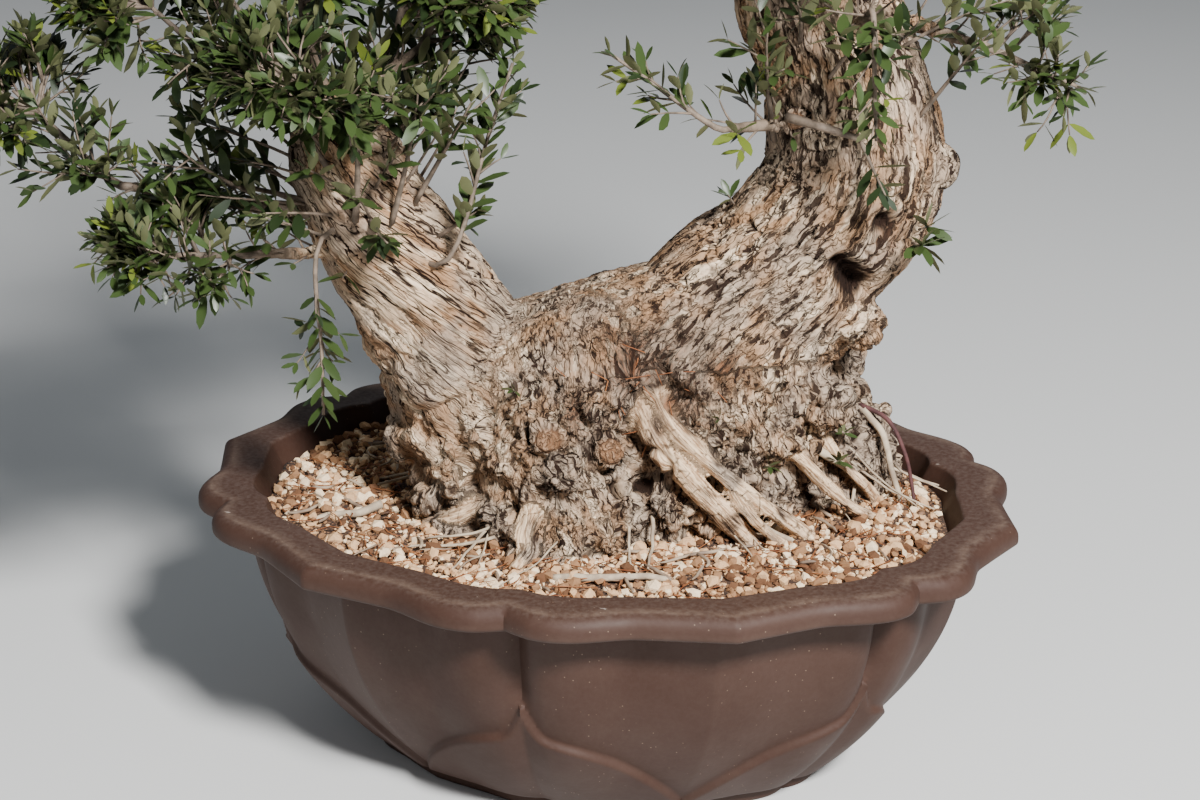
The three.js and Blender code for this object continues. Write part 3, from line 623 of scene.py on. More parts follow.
def clay_finish(colours):
    """Matt brown stoneware: faint mottling, pale specks, dust with a painted sheen on the rim's top, and
    worn edges with a painted highlight along the rim's shoulder.
    """
    finish = Finish("stoneware", roughness=0.68)
    noise, span, mix = finish.noise, finish.span, finish.mix
    place = finish.place()
    edge = finish.attribute("edge")
    top = finish.attribute("rim_top")
    mottle = noise(place, 7, 5, 0.62)
    fine = noise(place, 210, 4, 0.6)
    specks = finish.cells(place, 120)
    scuffs = noise(place, 28, 5, 0.7, 0.6)
    light = mix(0.05, colours.clay, colours.dust)
    dark = mix(0.16, colours.clay, tone(46, 32, 26))
    body = mix(span(mottle, 0.35, 0.68), dark, light)
    # The rim's top is lightened with dust: partly real lime and dust, partly a painted sheen
    dust_and_sheen = mix(span(fine, 0.3, 0.75) * (0.04 + top * 0.22), body, colours.dust)
    speck = (1 - span(specks, 0.05, 0.11)) * span(mottle, 0.48, 0.56)
    speckled = mix(speck * 0.4, dust_and_sheen, tone(160, 138, 118))
    # Pale scuffs where the edge attribute is set: wear, and on the rim's shoulder a painted highlight line
    worn = edge * span(scuffs, 0.3, 0.62) * 0.16
    scuffs_and_highlight = mix(worn, speckled, tone(168, 146, 128))
    marks = span(noise(place, 21, 4, 0.75, 1.0), 0.69, 0.74) * top
    finish.set("Base Color", mix(marks * 0.6, scuffs_and_highlight, tone(208, 198, 186)))
    finish.set("Roughness", span(mottle, 0.3, 0.7, 0.74, 0.6))
    finish.set("Specular IOR Level", 0.35)
    finish.bump(fine * 0.6 + noise(place, 60, 3) * 0.5 - speck * 0.4, 0.5 * MM, 0.5)
    return finish.material


def humus_finish(colours):
    finish = Finish("humus", roughness=0.95)
    place = finish.place()
    crumbs = finish.noise(place, 120, 5, 0.65)
    lit = finish.mix(finish.span(crumbs, 0.4, 0.7), tone(52, 36, 27), colours.humus)
    dusted = finish.mix(finish.span(finish.noise(place, 300, 3), 0.5, 0.66), lit, colours.tan)
    finish.set("Base Color", dusted)
    finish.bump(crumbs + finish.cells(place, 220) * 0.6, 3 * MM)
    return finish.material


def grain_finish(name, colour):
    """A grain of fired clay or pumice, with its pits and dust."""
    finish = Finish(name, roughness=0.92)
    finish.set("Specular IOR Level", 0.2)
    place = finish.place()
    pits = finish.noise(place, 520, 4, 0.65)
    shades = finish.noise(place, 70, 2)
    darker = finish.mix(0.3, colour, tone(96, 66, 44))
    finish.set("Base Color", finish.mix(finish.span(pits + shades * 0.5, 0.45, 0.85), darker, colour))
    finish.bump(pits, 0.7 * MM, 0.8)
    return finish.material


def mulberry(seed):
    """Numbers from 0 to 1, the same row for the same seed as the rule of the solids draws."""
    mask = 0xFFFFFFFF
    state = seed
    while True:
        state = (state + 0x6D2B79F5) & mask
        mixed = ((state ^ (state >> 15)) * (1 | state)) & mask
        mixed = ((mixed + (((mixed ^ (mixed >> 7)) * (61 | mixed)) & mask)) & mask) ^ mixed
        yield (mixed ^ (mixed >> 14)) / 4294967296


class Noise:
    """Smooth and cellular noise, read at many points at once."""

    def __init__(self, seed):
        chance = np.random.default_rng(seed)
        self.order = np.tile(chance.permutation(256), 3)
        slopes = chance.normal(size=(256, 3))
        self.slopes = slopes / np.linalg.norm(slopes, axis=1)[:, None]
        self.spots = chance.random((256, 3))
        self.heights = chance.random(256)

    def _keys(self, cells):
        x, y, z = (cells & 255).T
        return self.order[self.order[self.order[x] + y] + z]

    def smooth(self, points):
        low = np.floor(points)
        cells = low.astype(np.int64)
        inside = points - low
        ease = inside**3 * (inside * (inside * 6 - 15) + 10)
        total = np.zeros(len(points))
        for corner in np.ndindex(2, 2, 2):
            weights = np.prod(np.where(corner, ease, 1 - ease), axis=1)
            slopes = self.slopes[self._keys(cells + corner)]
            total += weights * np.einsum("ij,ij->i", slopes, inside - corner)
        return total * 1.4

    def layered(self, points, layers):
        total = np.zeros(len(points))
        for layer in range(layers):
            total += 0.5**layer * self.smooth(points * 2**layer + 17.3 * layer)
        return total

    def warp(self, points):
        return np.stack([self.smooth(points + shift) for shift in (0.0, 31.7, 67.1)], axis=1)

    def plates(self, points):
        """How far each point is inside its cell's border, and the height of its cell."""
        cells = np.floor(points).astype(np.int64)
        nearest = np.full(len(points), 9.0)
        second = np.full(len(points), 9.0)
        heights = np.zeros(len(points))
        for step in np.ndindex(3, 3, 3):
            near = cells + np.array(step) - 1
            keys = self._keys(near)
            away = np.linalg.norm(near + self.spots[keys] - points, axis=1)
            closer = away < nearest
            second = np.where(closer, nearest, np.minimum(second, away))
            heights = np.where(closer, self.heights[keys], heights)
            nearest = np.minimum(nearest, away)
        return second - nearest, heights


def smoothstep(value, low, high):
    share = np.clip((value - low) / (high - low), 0, 1)
    return share * share * (3 - 2 * share)


def lerp(first, last, share):
    return first + (last - first) * share


def bell(away, width):
    """1 at no distance, falling off over a width."""
    return np.exp(-((away / width) ** 2))


def reached_along(places):
    """The length from the first place of a row to each of them."""
    steps = np.linalg.norm(np.diff(places, axis=0), axis=1)
    return np.concatenate([[0], np.cumsum(steps)])


def between(stops, reached, places):
    """The places at some stops, read between those of a row."""
    return np.stack([np.interp(stops, reached, places[:, k]) for k in range(3)], axis=-1)


class Curve:
    """A smooth curve through points, read by the share of its length."""

    SAMPLES = 200

    def __init__(self, points):
        self.points = np.array(points, float)
        self.table = np.array([self._smooth(i / self.SAMPLES) for i in range(self.SAMPLES + 1)])
        self.reached = reached_along(self.table)
        self.length = self.reached[-1]

    def _smooth(self, share):
        spans = len(self.points) - 1
        index = min(int(share * spans), spans - 1)
        t = share * spans - index
        b, c = self.points[index], self.points[index + 1]
        a = self.points[index - 1] if index else 2 * b - c
        d = self.points[index + 2] if index + 2 <= spans else 2 * c - b
        sides = ((a, b), (b, c), (c, d))
        first, middle, last = (max(np.linalg.norm(q - p), 1e-4) ** 0.5 for p, q in sides)
        leave = ((b - a) / first - (c - a) / (first + middle) + (c - b) / middle) * middle
        reach = ((c - b) / middle - (d - b) / (middle + last) + (d - c) / last) * middle
        square = -3 * b + 3 * c - 2 * leave - reach
        cube = 2 * b - 2 * c + leave + reach
        return b + t * (leave + t * (square + t * cube))

    def at(self, along):
        return between(np.asarray(along) * self.length, self.reached, self.table)

    def heading(self, along):
        step = self.at(min(1, along + 0.004)) - self.at(max(0, along - 0.004))
        return step / np.linalg.norm(step)


def unit(vector):
    return vector / np.maximum(np.linalg.norm(vector, axis=-1, keepdims=True), 1e-9)


def turned_along(places):
    """Headings, sides and faces of a row of places, turned as little as can be from one to the next."""
    headings = unit(np.gradient(places, axis=0))
    side = np.cross(headings[0], (0, 0, 1) if abs(headings[0][2]) < 0.9 else (1, 0, 0))
    sides = []
    for heading in headings:
        side = unit(side - heading * np.dot(side, heading))
        sides.append(side)
    sides = np.array(sides)
    return headings, sides, np.cross(headings, sides)


class Limb:
    """A limb, bough or root: its curve and its radius along it."""

    def __init__(self, curve, radii, shares):
        self.curve = curve
        self.radii = radii
        self.shares = shares

    def radius(self, along):
        return np.interp(along, self.shares, self.radii)

    def around(self, points, samples=60):
        """Each point's distance from the axis as a share of the radius, and its place across and along."""
        along = np.linspace(0, 1, samples)
        places = self.curve.at(along)
        headings, sides, faces = turned_along(places)
        best = np.full(len(points), np.inf)
        near = np.zeros(len(points), int)
        for index, place in enumerate(places):
            away = np.sum((points - place) ** 2, axis=1)
            closer = away < best
            best[closer] = away[closer]
            near[closer] = index
        offset = points - places[near]
        ahead = np.einsum("ij,ij->i", offset, headings[near])
        reached = along[near] * self.curve.length + ahead
        across = np.einsum("ij,ij->i", offset, sides[near])
        up = np.einsum("ij,ij->i", offset, faces[near])
        share = np.hypot(across, up) / self.radius(reached / self.curve.length)
        beyond = np.maximum(0, np.maximum(-reached, reached - self.curve.length))
        share = np.hypot(share, beyond / 20)
        return share, np.stack([across, up, reached], axis=1)


def limb_from(stations):
    stations = np.array(stations, float)
    steps = np.linalg.norm(np.diff(stations, axis=0), axis=1)
    shares = np.concatenate([[0], np.cumsum(steps)]) / steps.sum()
    return Limb(Curve(stations[:, :3]), stations[:, 3], shares)


def bough_from(sizes, parent):
    at, tip, bow, radii = sizes
    start = parent.curve.at(at)
    middle = (start + tip) / 2 + (0, 0, bow)
    return Limb(Curve([start, middle, tip]), radii, (0, 1))


def base_ring(z):
    heights, *rest = np.array(BASE_RINGS, float).T
    return [np.interp(z, heights, values) for values in rest]


def base_radius(z, angle):
    *_, length, depth = base_ring(z)
    oval = 1 / np.hypot(np.cos(angle - BASE_TURN) / length, np.sin(angle - BASE_TURN) / depth)
    height = np.clip((z - SOIL_TOP) / FLARE_HEIGHT, 0, 1)
    for turn, width, out in BUTTRESSES:
        away = (np.degrees(angle) - turn + 180) % 360 - 180
        oval = oval + out * bell(away, width) * (1 - height) ** FLARE_CURVE
    return oval


def near_skin(degrees, z, out):
    angle = math.radians(degrees)
    x, y, *_ = base_ring(z)
    radius = base_radius(z, angle) + out
    return np.array([x + radius * math.cos(angle), y + radius * math.sin(angle), z])


def root_from(turn, height, end, reach, radius):
    _, x, y, *_ = BASE_RINGS[0]
    angle = math.radians(end)
    points = [
        near_skin(turn, SOIL_TOP + height, -radius),
        near_skin(lerp(turn, end, 0.35), SOIL_TOP + 0.62 * height, 0),
        near_skin(lerp(turn, end, 0.75), SOIL_TOP + 0.24 * height, 0.3 * radius),
        (x + reach * math.cos(angle), y + reach * math.sin(angle), SOIL_TOP),
    ]
    return Limb(Curve(points), (1.1 * radius, 0.5 * radius), (0, 1))


class Gather:
    """Many small closed shapes, joined into one mesh."""

    def __init__(self):
        self.points = []
        self.faces = []
        self.finishes = []
        self.count = 0

    def add(self, points, faces, finish=0):
        self.points.append(points)
        self.faces.append(np.asarray(faces) + self.count)
        self.finishes.append(np.broadcast_to(finish, len(faces)))
        self.count += len(points)

    def piece(self, name, finishes, smooth=True, turn=0.0):
        points = turned(np.concatenate(self.points), turn) * MM
        faces = np.concatenate(self.faces)
        mesh = bpy.data.meshes.new(name)
        mesh.from_pydata(points.tolist(), [], faces.tolist())
        for material in finishes:
            mesh.materials.append(material)
        mesh.polygons.foreach_set("material_index", np.concatenate(self.finishes).astype(np.int32))
        mesh.polygons.foreach_set("use_smooth", np.full(len(faces), smooth))
        mesh.update()
        return placed(name, mesh)


def placed(name, data):
    """A new object of the scene."""
    made = bpy.data.objects.new(name, data)
    bpy.context.collection.objects.link(made)
    return made


def turned(points, angle):
    if not angle:
        return points
    x, y, z = points.T
    cosine, sine = math.cos(angle), math.sin(angle)
    return np.stack([x * cosine - y * sine, x * sine + y * cosine, z], axis=1)


def tube_faces(rows, sides):
    """The triangles of a closed tube: its wall between rings of points, and a cap at either end."""
    ring, side = np.meshgrid(np.arange(rows - 1), np.arange(sides), indexing="ij")
    a = (ring * sides + side).ravel()
    b = (ring * sides + (side + 1) % sides).ravel()
    walls = np.concatenate([np.stack([a, b, b + sides], 1), np.stack([a, b + sides, a + sides], 1)])
    edge = np.arange(sides)
    following = (edge + 1) % sides
    last = (rows - 1) * sides
    first_cap = np.stack([np.full(sides, last + sides), following, edge], 1)
    last_cap = np.stack([np.full(sides, last + sides + 1), last + edge, last + following], 1)
    return np.concatenate([walls, first_cap, last_cap])


def tube(places, radii, sides):
    """A closed tube through places: its points and its triangles."""
    places = np.asarray(places, float)
    radii = np.broadcast_to(radii, len(places))
    _, across, up = turned_along(places)
    angles = np.arange(sides) * 2 * math.pi / sides
    cosines, sines = np.cos(angles)[None, :, None], np.sin(angles)[None, :, None]
    spokes = cosines * across[:, None] + sines * up[:, None]
    rings = places[:, None] + spokes * radii[:, None, None]
    points = np.concatenate([rings.reshape(-1, 3), places[:1], places[-1:]])
    return points, tube_faces(len(places), sides)


def ball(subdivisions):
    """The points and triangles of a round ball of radius 1."""
    shape = bmesh.new()
    bmesh.ops.create_icosphere(shape, subdivisions=subdivisions, radius=1)
    points = np.array([vertex.co for vertex in shape.verts])
    faces = np.array([[vertex.index for vertex in face.verts] for face in shape.faces])
    shape.free()
    return points, faces


def deselect_all():
    if bpy.context.mode != "OBJECT":
        bpy.ops.object.mode_set(mode="OBJECT")
    bpy.ops.object.select_all(action="DESELECT")


def select_only(piece):
    deselect_all()
    piece.select_set(True)
    bpy.context.view_layer.objects.active = piece


def apply_modifier(piece, kind, **settings):
    select_only(piece)
    modifier = piece.modifiers.new(kind.title(), kind)
    for name, value in settings.items():
        setattr(modifier, name, value)
    bpy.ops.object.modifier_apply(modifier=modifier.name)


def settle(piece, slot, *nodes):
    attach(piece, BODY)
    if nodes:
        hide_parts(*nodes)


def all_limbs():
    limbs = {side: limb_from(sizes["stations"]) for side, sizes in LIMBS.items()}
    for name, sizes in BOUGHS.items():
        limbs[name] = bough_from(sizes, limbs[name.split("_")[0]])
    return limbs


def read_vectors(rows, field):
    flat = np.empty(3 * len(rows))
    rows.foreach_get(field, flat)
    return flat.reshape(-1, 3)


def write_points(mesh, points):
    mesh.vertices.foreach_set("co", points.ravel())
    mesh.update()


def write_attribute(mesh, name, values):
    kind, field = ("FLOAT", "value") if values.ndim == 1 else ("FLOAT_VECTOR", "vector")
    layer = mesh.attributes.new(name, kind, "POINT")
    layer.data.foreach_set(field, values.astype(np.float32).ravel())


def base_lathe():
    """The burly base as rings of points round its changing middle."""
    heights = np.linspace(BASE_RINGS[0][0], BASE_RINGS[-1][0], BASE_ROWS)
    angles = np.linspace(0, 2 * math.pi, BASE_SEGMENTS, endpoint=False)
    rings = []
    for z in heights:
        x, y, *_ = base_ring(z)
        radius = base_radius(z, angles)
        level = np.full(BASE_SEGMENTS, z)
        rings.append(np.stack([x + radius * np.cos(angles), y + radius * np.sin(angles), level], 1))
    x, y, *_ = base_ring(heights[0])
    top_x, top_y, *_ = base_ring(heights[-1])
    ends = np.array([[x, y, heights[0]], [top_x, top_y, heights[-1] + BASE_TOP]])
    return np.concatenate([*rings, ends]), tube_faces(BASE_ROWS, BASE_SEGMENTS)


def bough_rings(bough, parent):
    """Places and radii of a bough, flared where it leaves its limb."""
    along = np.linspace(0, 1, BOUGH_ROWS)
    places = bough.curve.at(along)
    share, _ = parent.around(places)
    collar = 1 + 0.55 * np.exp(-np.maximum(0, share - 1) * 3.2)
    thinning = SHOOT_THINNING if bough.radius(1) < THICK_BOUGH else 1
    return places, bough.radius(along) * collar * thinning


def rough_wood(limbs, roots):
    """All the wood as overlapping closed shapes, before they are fused."""
    wood = Gather()
    wood.add(*base_lathe())
    for side in LIMBS:
        limb = limbs[side]
        along = np.linspace(0, 1, LIMB_ROWS)
        wood.add(*tube(limb.curve.at(along), limb.radius(along), LIMB_SIDES))
    for name in BOUGHS:
        wood.add(*tube(*bough_rings(limbs[name], limbs[name.split("_")[0]]), BOUGH_SIDES))
    for root in roots:
        along = np.linspace(0, 1, ROOT_ROWS)
        wood.add(*tube(root.curve.at(along), root.radius(along), ROOT_SIDES))
    points, faces = ball(3)
    for x, y, z, radius in BURLS + KNOBS:
        wood.add(points * radius + (x, y, z), faces)
    for x, y, z, radius in SCARS:
        inward = np.array([-0.06, 0.96, -0.2])
        places = np.array([(x, y, z)]) + inward * np.linspace(34, -9, 5)[:, None]
        wood.add(*tube(places, np.array([1.25, 1.15, 1, 0.95, 0.8]) * radius, 20))
    chance = np.random.default_rng(LUMP_SEED)
    for _ in range(LUMPS):
        turn = chance.uniform(0, 360)
        z = SOIL_TOP + 150 * chance.random() ** 1.5
        radius = chance.uniform(9, 24)
        middle = near_skin(turn, z, -0.45 * radius)
        stretch = chance.uniform(0.8, 1.35, 3)
        wood.add(points * radius * stretch + middle, faces)
    return wood.piece("wood", [])


def gaussian(points, place, radius):
    return np.exp(-np.sum((points - np.array(place)) ** 2, axis=1) / radius**2)


def bark_cells(noise, coords, width, length, wander, crack):
    """Plates of bark: from 0 in a crack to 1 on a plate, and each plate's height."""
    warped = coords + wander * noise.warp(coords / (width * 3.6))
    warped = warped + 0.3 * wander * noise.warp(coords / (width * 1.3) + 50)
    border, heights = noise.plates(warped / (width, width, length))
    return smoothstep(border, 0.0, crack), heights - 0.5


def furrows(noise, coords, width, length, wander):
    """Long furrows that wind along the grain and run together: 0 in a furrow and 1 beside it."""
    warped = coords + wander * noise.warp(coords / (width * 4))
    winding = noise.smooth(warped / (width, width, length)) + 0.35 * noise.smooth(warped / (7, 7, 22))
    return smoothstep(np.abs(winding), 0.0, 0.12)


def spiral(coords, rate):
    """Coordinates round an axis, turned steadily along it."""
    angle = coords[:, 2] * rate
    x, y = coords[:, 0], coords[:, 1]
    across = np.stack([x * np.cos(angle) - y * np.sin(angle), x * np.sin(angle) + y * np.cos(angle)], 1)
    return np.concatenate([across, coords[:, 2:]], axis=1)


def root_grain(points, roots):
    """How much of a root each point is, and its coordinates round and along that root."""
    rooty = np.zeros(len(points))
    grain = np.zeros((len(points), 3))
    for index, root in enumerate(roots):
        low, high = root.curve.table.min(0) - 30, root.curve.table.max(0) + 30
        near = np.flatnonzero(np.all((points > low) & (points < high), axis=1))
        share, coords = root.around(points[near], 30)
        belongs = 1 - smoothstep(share, 1.15, 1.5)
        closer = belongs > rooty[near]
        rooty[near[closer]] = belongs[closer]
        grain[near[closer]] = coords[closer] + 37.0 * index
    return rooty, grain


def wood_relief(points, limbs, roots, depth, burl):
    """How far the bark moves each point, and the values that its finish reads."""
    noise = Noise(BARK_SEED)
    other = Noise(CRUMB_SEED)
    left_share, left = limbs["left"].around(points)
    right_share, right = limbs["right"].around(points)
    height = points[:, 2]
    near_left, near_right = (bell(np.maximum(0, share - 1.02), 0.2) for share in (left_share, right_share))
    to_left = near_left * smoothstep(-points[:, 0], 40, 120) * smoothstep(height, 285, 345)
    to_right = near_right * smoothstep(height, 390, 480)
    base = 0.12 + 0.88 * (1 - smoothstep(height, 430, 520))
    total = to_left * 1.8 + to_right * 1.6 + base
    weights = np.stack([to_left * 1.8, to_right * 1.6, base], 1) / total[:, None]

    thin = np.minimum(left_share, right_share)
    young = smoothstep(thin, 1.15, 1.5) * smoothstep(height, 480, 560)
    rooty, along_root = root_grain(points, roots)

    left_grain = spiral(left, 0.0062)
    right_grain = spiral(right, -0.0012)
    base_grain = points + 14 * noise.warp(points / 90)
    left_plate = furrows(other, left_grain, 22, 230, 9)
    right_plate, right_height = bark_cells(other, right_grain, 17, 46, 16, 0.09)
    base_plate, base_height = bark_cells(other, base_grain, 20, 24, 20, 0.1)
    plates = np.stack([left_plate, right_plate, base_plate], 1)
    heights = np.stack([0 * base_height, 1.3 * right_height, 1.6 * base_height], 1)
    plate = np.sum(weights * plates, 1)
    lift = np.sum(weights * heights, 1)

    coarse = noise.layered(points / 95, 3)
    lumps = np.minimum(1.2, 2.6 * np.abs(noise.layered(points / 46 + 3.1, 2))) - 0.6
    crumbs = np.minimum(1.1, 2.6 * np.abs(other.smooth(points / 17))) - 0.5
    ribs = noise.smooth(left_grain / (30, 30, 160)) * weights[:, 0]
    ribs = ribs + other.smooth(right_grain / (34, 34, 120)) * weights[:, 1]
    fine = other.layered(points / 6, 2)
    low = 1 - smoothstep(height, 400, 500)
    calm = 1 - np.maximum(young, 0.85 * rooty)
    burly = low * (1 - rooty) * (1 - 0.65 * weights[:, 0])
    form = coarse * lerp(6, 11, low) + (lumps + crumbs * 0.42) * burl * burly + 5 * ribs * (1 - low)
    form = form * (1 - 0.85 * young) * (1 - 0.7 * rooty)
    fibres = noise.smooth(along_root / (7, 7, 46)) * 2.2 + other.smooth(along_root / (16, 16, 60)) * 2.4
    form = form + rooty * fibres
    relief = (plate - 1) * depth + lift * 2.6 + fine * 0.8
    stain = np.zeros(len(points))
    hollow = np.zeros(len(points))
    bare = 0.9 * rooty * smoothstep(noise.smooth(points / 30 + 5), -0.5, 0.1)
    for x, y, z, radius, deep in HOLLOWS:
        hole = gaussian(points, (x, y, z), radius)
        form = form - deep * hole
        if radius >= ROTTEN_HOLLOW:
            stain = np.maximum(stain, gaussian(points, (x, y, z), 1.15 * radius))
        # A deep hollow is marked for painted shade, which its finish lays on in the furrow colour
        if deep >= SHADED_HOLLOW:
            hollow = np.maximum(hollow, smoothstep(hole * deep, 4, 11))
    for x, y, z, radius in STAINS:
        stain = np.maximum(stain, 0.9 * gaussian(points, (x, y, z), radius))
    scar = np.zeros(len(points))
    for x, y, z, radius in SCARS:
        away = np.linalg.norm(points - (x, y - 8, z), axis=1)
        scar = np.maximum(scar, 1 - away / radius)
        crease = bell(away - 1.5 * radius, 0.3 * radius)
        form = form - 6 * crease + 3 * bell(away - 1.05 * radius, 0.25 * radius)
        # The crease round a stub counts as a crack, so the finish paints shade in it
        plate = plate * (1 - 0.9 * crease)
    on_scar = smoothstep(scar, 0.0, 0.15)
    form = lerp(form, 0, 0.8 * on_scar)
    moved = form + relief * calm * (1 - 0.8 * bare) * (1 - on_scar) + fine * 0.5 * (1 - calm)
    plate = lerp(plate, 1, np.maximum(young, on_scar))

    choice = np.argmax(weights + 0.12 * noise.warp(points / 14), axis=1)
    grains = np.stack([left_grain * (1, 1, 0.24), right_grain * (1, 1, 0.36), base_grain * (1, 1, 0.55)])
    grain = grains[choice, np.arange(len(points))]
    on_root = (rooty > 0.45)[:, None]
    grain = np.where(on_root, along_root * (1, 1, 0.14), grain) * MM
    values = dict(plate=plate, grain=grain, stain=stain, hollow=hollow, bare=bare, low=low, young=young)
    return moved, dict(values, left=weights[:, 0], base=weights[:, 2], scar=scar)


def cut_piece(source, name, keep, planes):
    """A capped copy of part of the wood. Each plane cuts only the faces that its test picks."""
    mesh = source.data.copy()
    mesh.name = name
    piece = placed(name, mesh)
    shape = bmesh.new()
    shape.from_mesh(mesh)
    for place, normal, picks in planes:
        faces = [face for face in shape.faces if picks(face.calc_center_median())]
        edges = {edge for face in faces for edge in face.edges}
        verts = {vert for face in faces for vert in face.verts}
        cut = bmesh.ops.bisect_plane(
            shape,
            geom=[*verts, *edges, *faces],
            plane_co=place,
            plane_no=normal,
            clear_outer=True,
        )
        rim = [item for item in cut["geom_cut"] if isinstance(item, bmesh.types.BMEdge)]
        bmesh.ops.holes_fill(shape, edges=rim, sides=0)
    if keep:
        loose = [vert for vert in shape.verts if not keep(vert.co)]
        bmesh.ops.delete(shape, geom=loose, context="VERTS")
    bmesh.ops.triangulate(shape, faces=[face for face in shape.faces if len(face.verts) > 4])
    shape.to_mesh(mesh)
    shape.free()
    return piece


class BONSAI_OT_wood(bpy.types.Operator):
    """Fuse the base, limbs and boughs and give them their bark"""

    bl_idname = "bonsai.wood"
    bl_label = "Trunk and Limbs"

    def execute(self, context):
        settings = context.scene.bonsai_wood
        limbs = all_limbs()
        roots = [root_from(*row) for row in ROOTS]
        roots += [Limb(Curve(places), radii, (0, 1)) for places, radii in CLEAR_ROOTS]
        wood = rough_wood(limbs, roots)
        select_only(wood)
        wood.data.remesh_voxel_size = BARK_CELL * MM * 1
        bpy.ops.object.voxel_remesh()
        apply_modifier(wood, "SMOOTH", factor=0.5, iterations=BARK_SMOOTHING)
        mesh = wood.data
        points = read_vectors(mesh.vertices, "co") / MM
        depth, burl = settings.furrow_depth / MM, settings.burl_height / MM
        moved, values = wood_relief(points, limbs, roots, depth, burl)
        points = points + read_vectors(mesh.vertex_normals, "vector") * moved[:, None]
        write_points(mesh, turned(points, TREE_TURN) * MM)
        for name, value in values.items():
            write_attribute(mesh, name, value)
        mesh.materials.append(bark_finish(settings))
        mesh.polygons.foreach_set("use_smooth", np.full(len(mesh.polygons), True))
        left_place, left_heading = self.parting(limbs, "left")
        right_place, right_heading = self.parting(limbs, "right")
        across = Vector((math.cos(TREE_TURN), math.sin(TREE_TURN), 0))

        def on_left(place):
            return place.dot(across) < LEFT_SIDE * MM

        def on_right(place):
            return not on_left(place)

        def high_left(place):
            return on_left(place) and place.z > LEFT_PARTS_ABOVE * MM

        def high_right(place):
            return on_right(place) and place.z > RIGHT_PARTS_ABOVE * MM

        cuts = [(left_place, left_heading, high_left), (right_place, right_heading, high_right)]
        trunk = cut_piece(wood, "trunk_and_roots", None, cuts)
        left = cut_piece(wood, "left_limb_bark", on_left, [(left_place, -left_heading, on_left)])
        right = cut_piece(wood, "right_limb_bark", on_right, [(right_place, -right_heading, on_right)])
        bpy.data.objects.remove(wood)
        settle(trunk, "bark", "trunk")
        settle(left, "bark", "left_limb", *(f"bough_{name}" for name in LEFT))
        settle(right, "bark", "right_limb", *(f"bough_{name}" for name in RIGHT))
        return {"FINISHED"}

    def parting(self, limbs, side):
        """The place and direction of the plane where a limb parts from the trunk."""
        curve, share = limbs[side].curve, LIMBS[side]["parting"]
        rows = (curve.at(share) * MM, curve.heading(share))
        return [Vector(turned(row[None], TREE_TURN)[0]) for row in rows]


class BONSAI_OT_fine_roots(bpy.types.Operator):
    """Lay the thin roots that run from the base over the grit"""

    bl_idname = "bonsai.fine_roots"
    bl_label = "Fine Roots"

    # Named thin roots: their places, and radii at start and end
    LONE = {
        "grey": ([(276, 22, 356), (296, 10, 332), (306, 0, 296), (318, -6, 258)], 4.2, 3.0),
        "side": ([(222, -30, 330), (250, -24, 312), (272, -12, 286), (292, -2, 260)], 5.0, 3.4),
        "branch": ([(120, -104, 318), (146, -108, 292), (168, -106, 272), (196, -112, 259)], 5.0, 3.0),
        "front": ([(-52, -206, 262), (-10, -214, 266), (36, -208, 265), (66, -210, 261)], 4.6, 3.2),
        "left": ([(-236, -40, 272), (-262, -50, 266), (-290, -46, 263), (-310, -56, 259)], 5.0, 3.0),
    }
    PURPLE = [(272, 26, 360), (300, 8, 350), (318, -6, 318), (326, -14, 286), (330, -26, 256)]
    # Small roots: how many in all and at the right, from and to of their direction, height and
    # reach there and elsewhere, and the half sizes of the oval that they keep to
    SMALL = 46
    SMALL_AT_RIGHT = 26
    AT_RIGHT = ((-12, 34), (20, 84), (60, 120))
    ELSEWHERE = ((0, 360), (8, 30), (30, 90))
    OVAL = (376, 300)

    def execute(self, context):
        roots = Gather()
        noise = Noise(ROOT_SEEDS[0])
        for places, thick, thin in self.LONE.values():
            along = np.linspace(0, 1, 24)
            points = Curve(places).at(along)
            points = points + 1.6 * noise.warp(points / 18)
            roots.add(*tube(points, lerp(thick, thin, along), 8), 0)
        along = np.linspace(0, 1, 22)
        roots.add(*tube(Curve(self.PURPLE).at(along), lerp(2.8, 1.9, along), 8), 1)
        chance = np.random.default_rng(ROOT_SEEDS[1])
        for index in range(self.SMALL):
            ranges = self.AT_RIGHT if index < self.SMALL_AT_RIGHT else self.ELSEWHERE
            turn, height, reach = (chance.uniform(*ends) for ends in ranges)
            bend = chance.uniform(-16, 16)
            start = near_skin(turn, SOIL_TOP + height, -8)
            middle = near_skin(turn + 0.4 * bend, SOIL_TOP + 0.45 * height, 0.3 * reach)
            end = near_skin(turn + bend, SOIL_TOP, reach)
            places = np.array([start, middle, end + (0, 0, 3)])
            if np.sum((places[:, :2] / self.OVAL) ** 2, axis=1).max() > 1:
                continue
            points = Curve(places).at(np.linspace(0, 1, 14))
            points = points + 2.2 * noise.warp(points / 22)
            thick = chance.uniform(1.1, 2.6)
            roots.add(*tube(points, np.linspace(thick, 0.5 * thick, 14), 6), 0)
        colours = {
            "root_bark": (tone(150, 132, 112), tone(196, 178, 152)),
            "purple_root": (tone(62, 34, 34), tone(88, 52, 50)),
        }
        grain = (300, 0.6, 0.7)
        finishes = [two_tone_finish(name, 0.8, *pair, 60, 4, grain) for name, pair in colours.items()]
        settle(roots.piece("fine_roots", finishes, turn=TREE_TURN), "bark")
        return {"FINISHED"}


def depth_in(name, places):
    """How deep places lie in the space of a mass: 0 in its middle and 1 on its skin."""
    middle, half = MASSES[name][:2]
    return np.linalg.norm((places - np.array(middle)) / np.array(half), axis=-1)


def keeps_to_space(name, places, margin):
    """Whether places lie in a mass's own space, no deeper in that of another, and off the open sky."""
    own = depth_in(name, places)
    kept = own <= 1
    for *middle, radius in OPEN_SKY:
        kept &= np.linalg.norm(places - np.array(middle), axis=-1) > radius
    for other in MASSES:
        if other != name:
            kept &= depth_in(other, places) > own + margin
    return kept


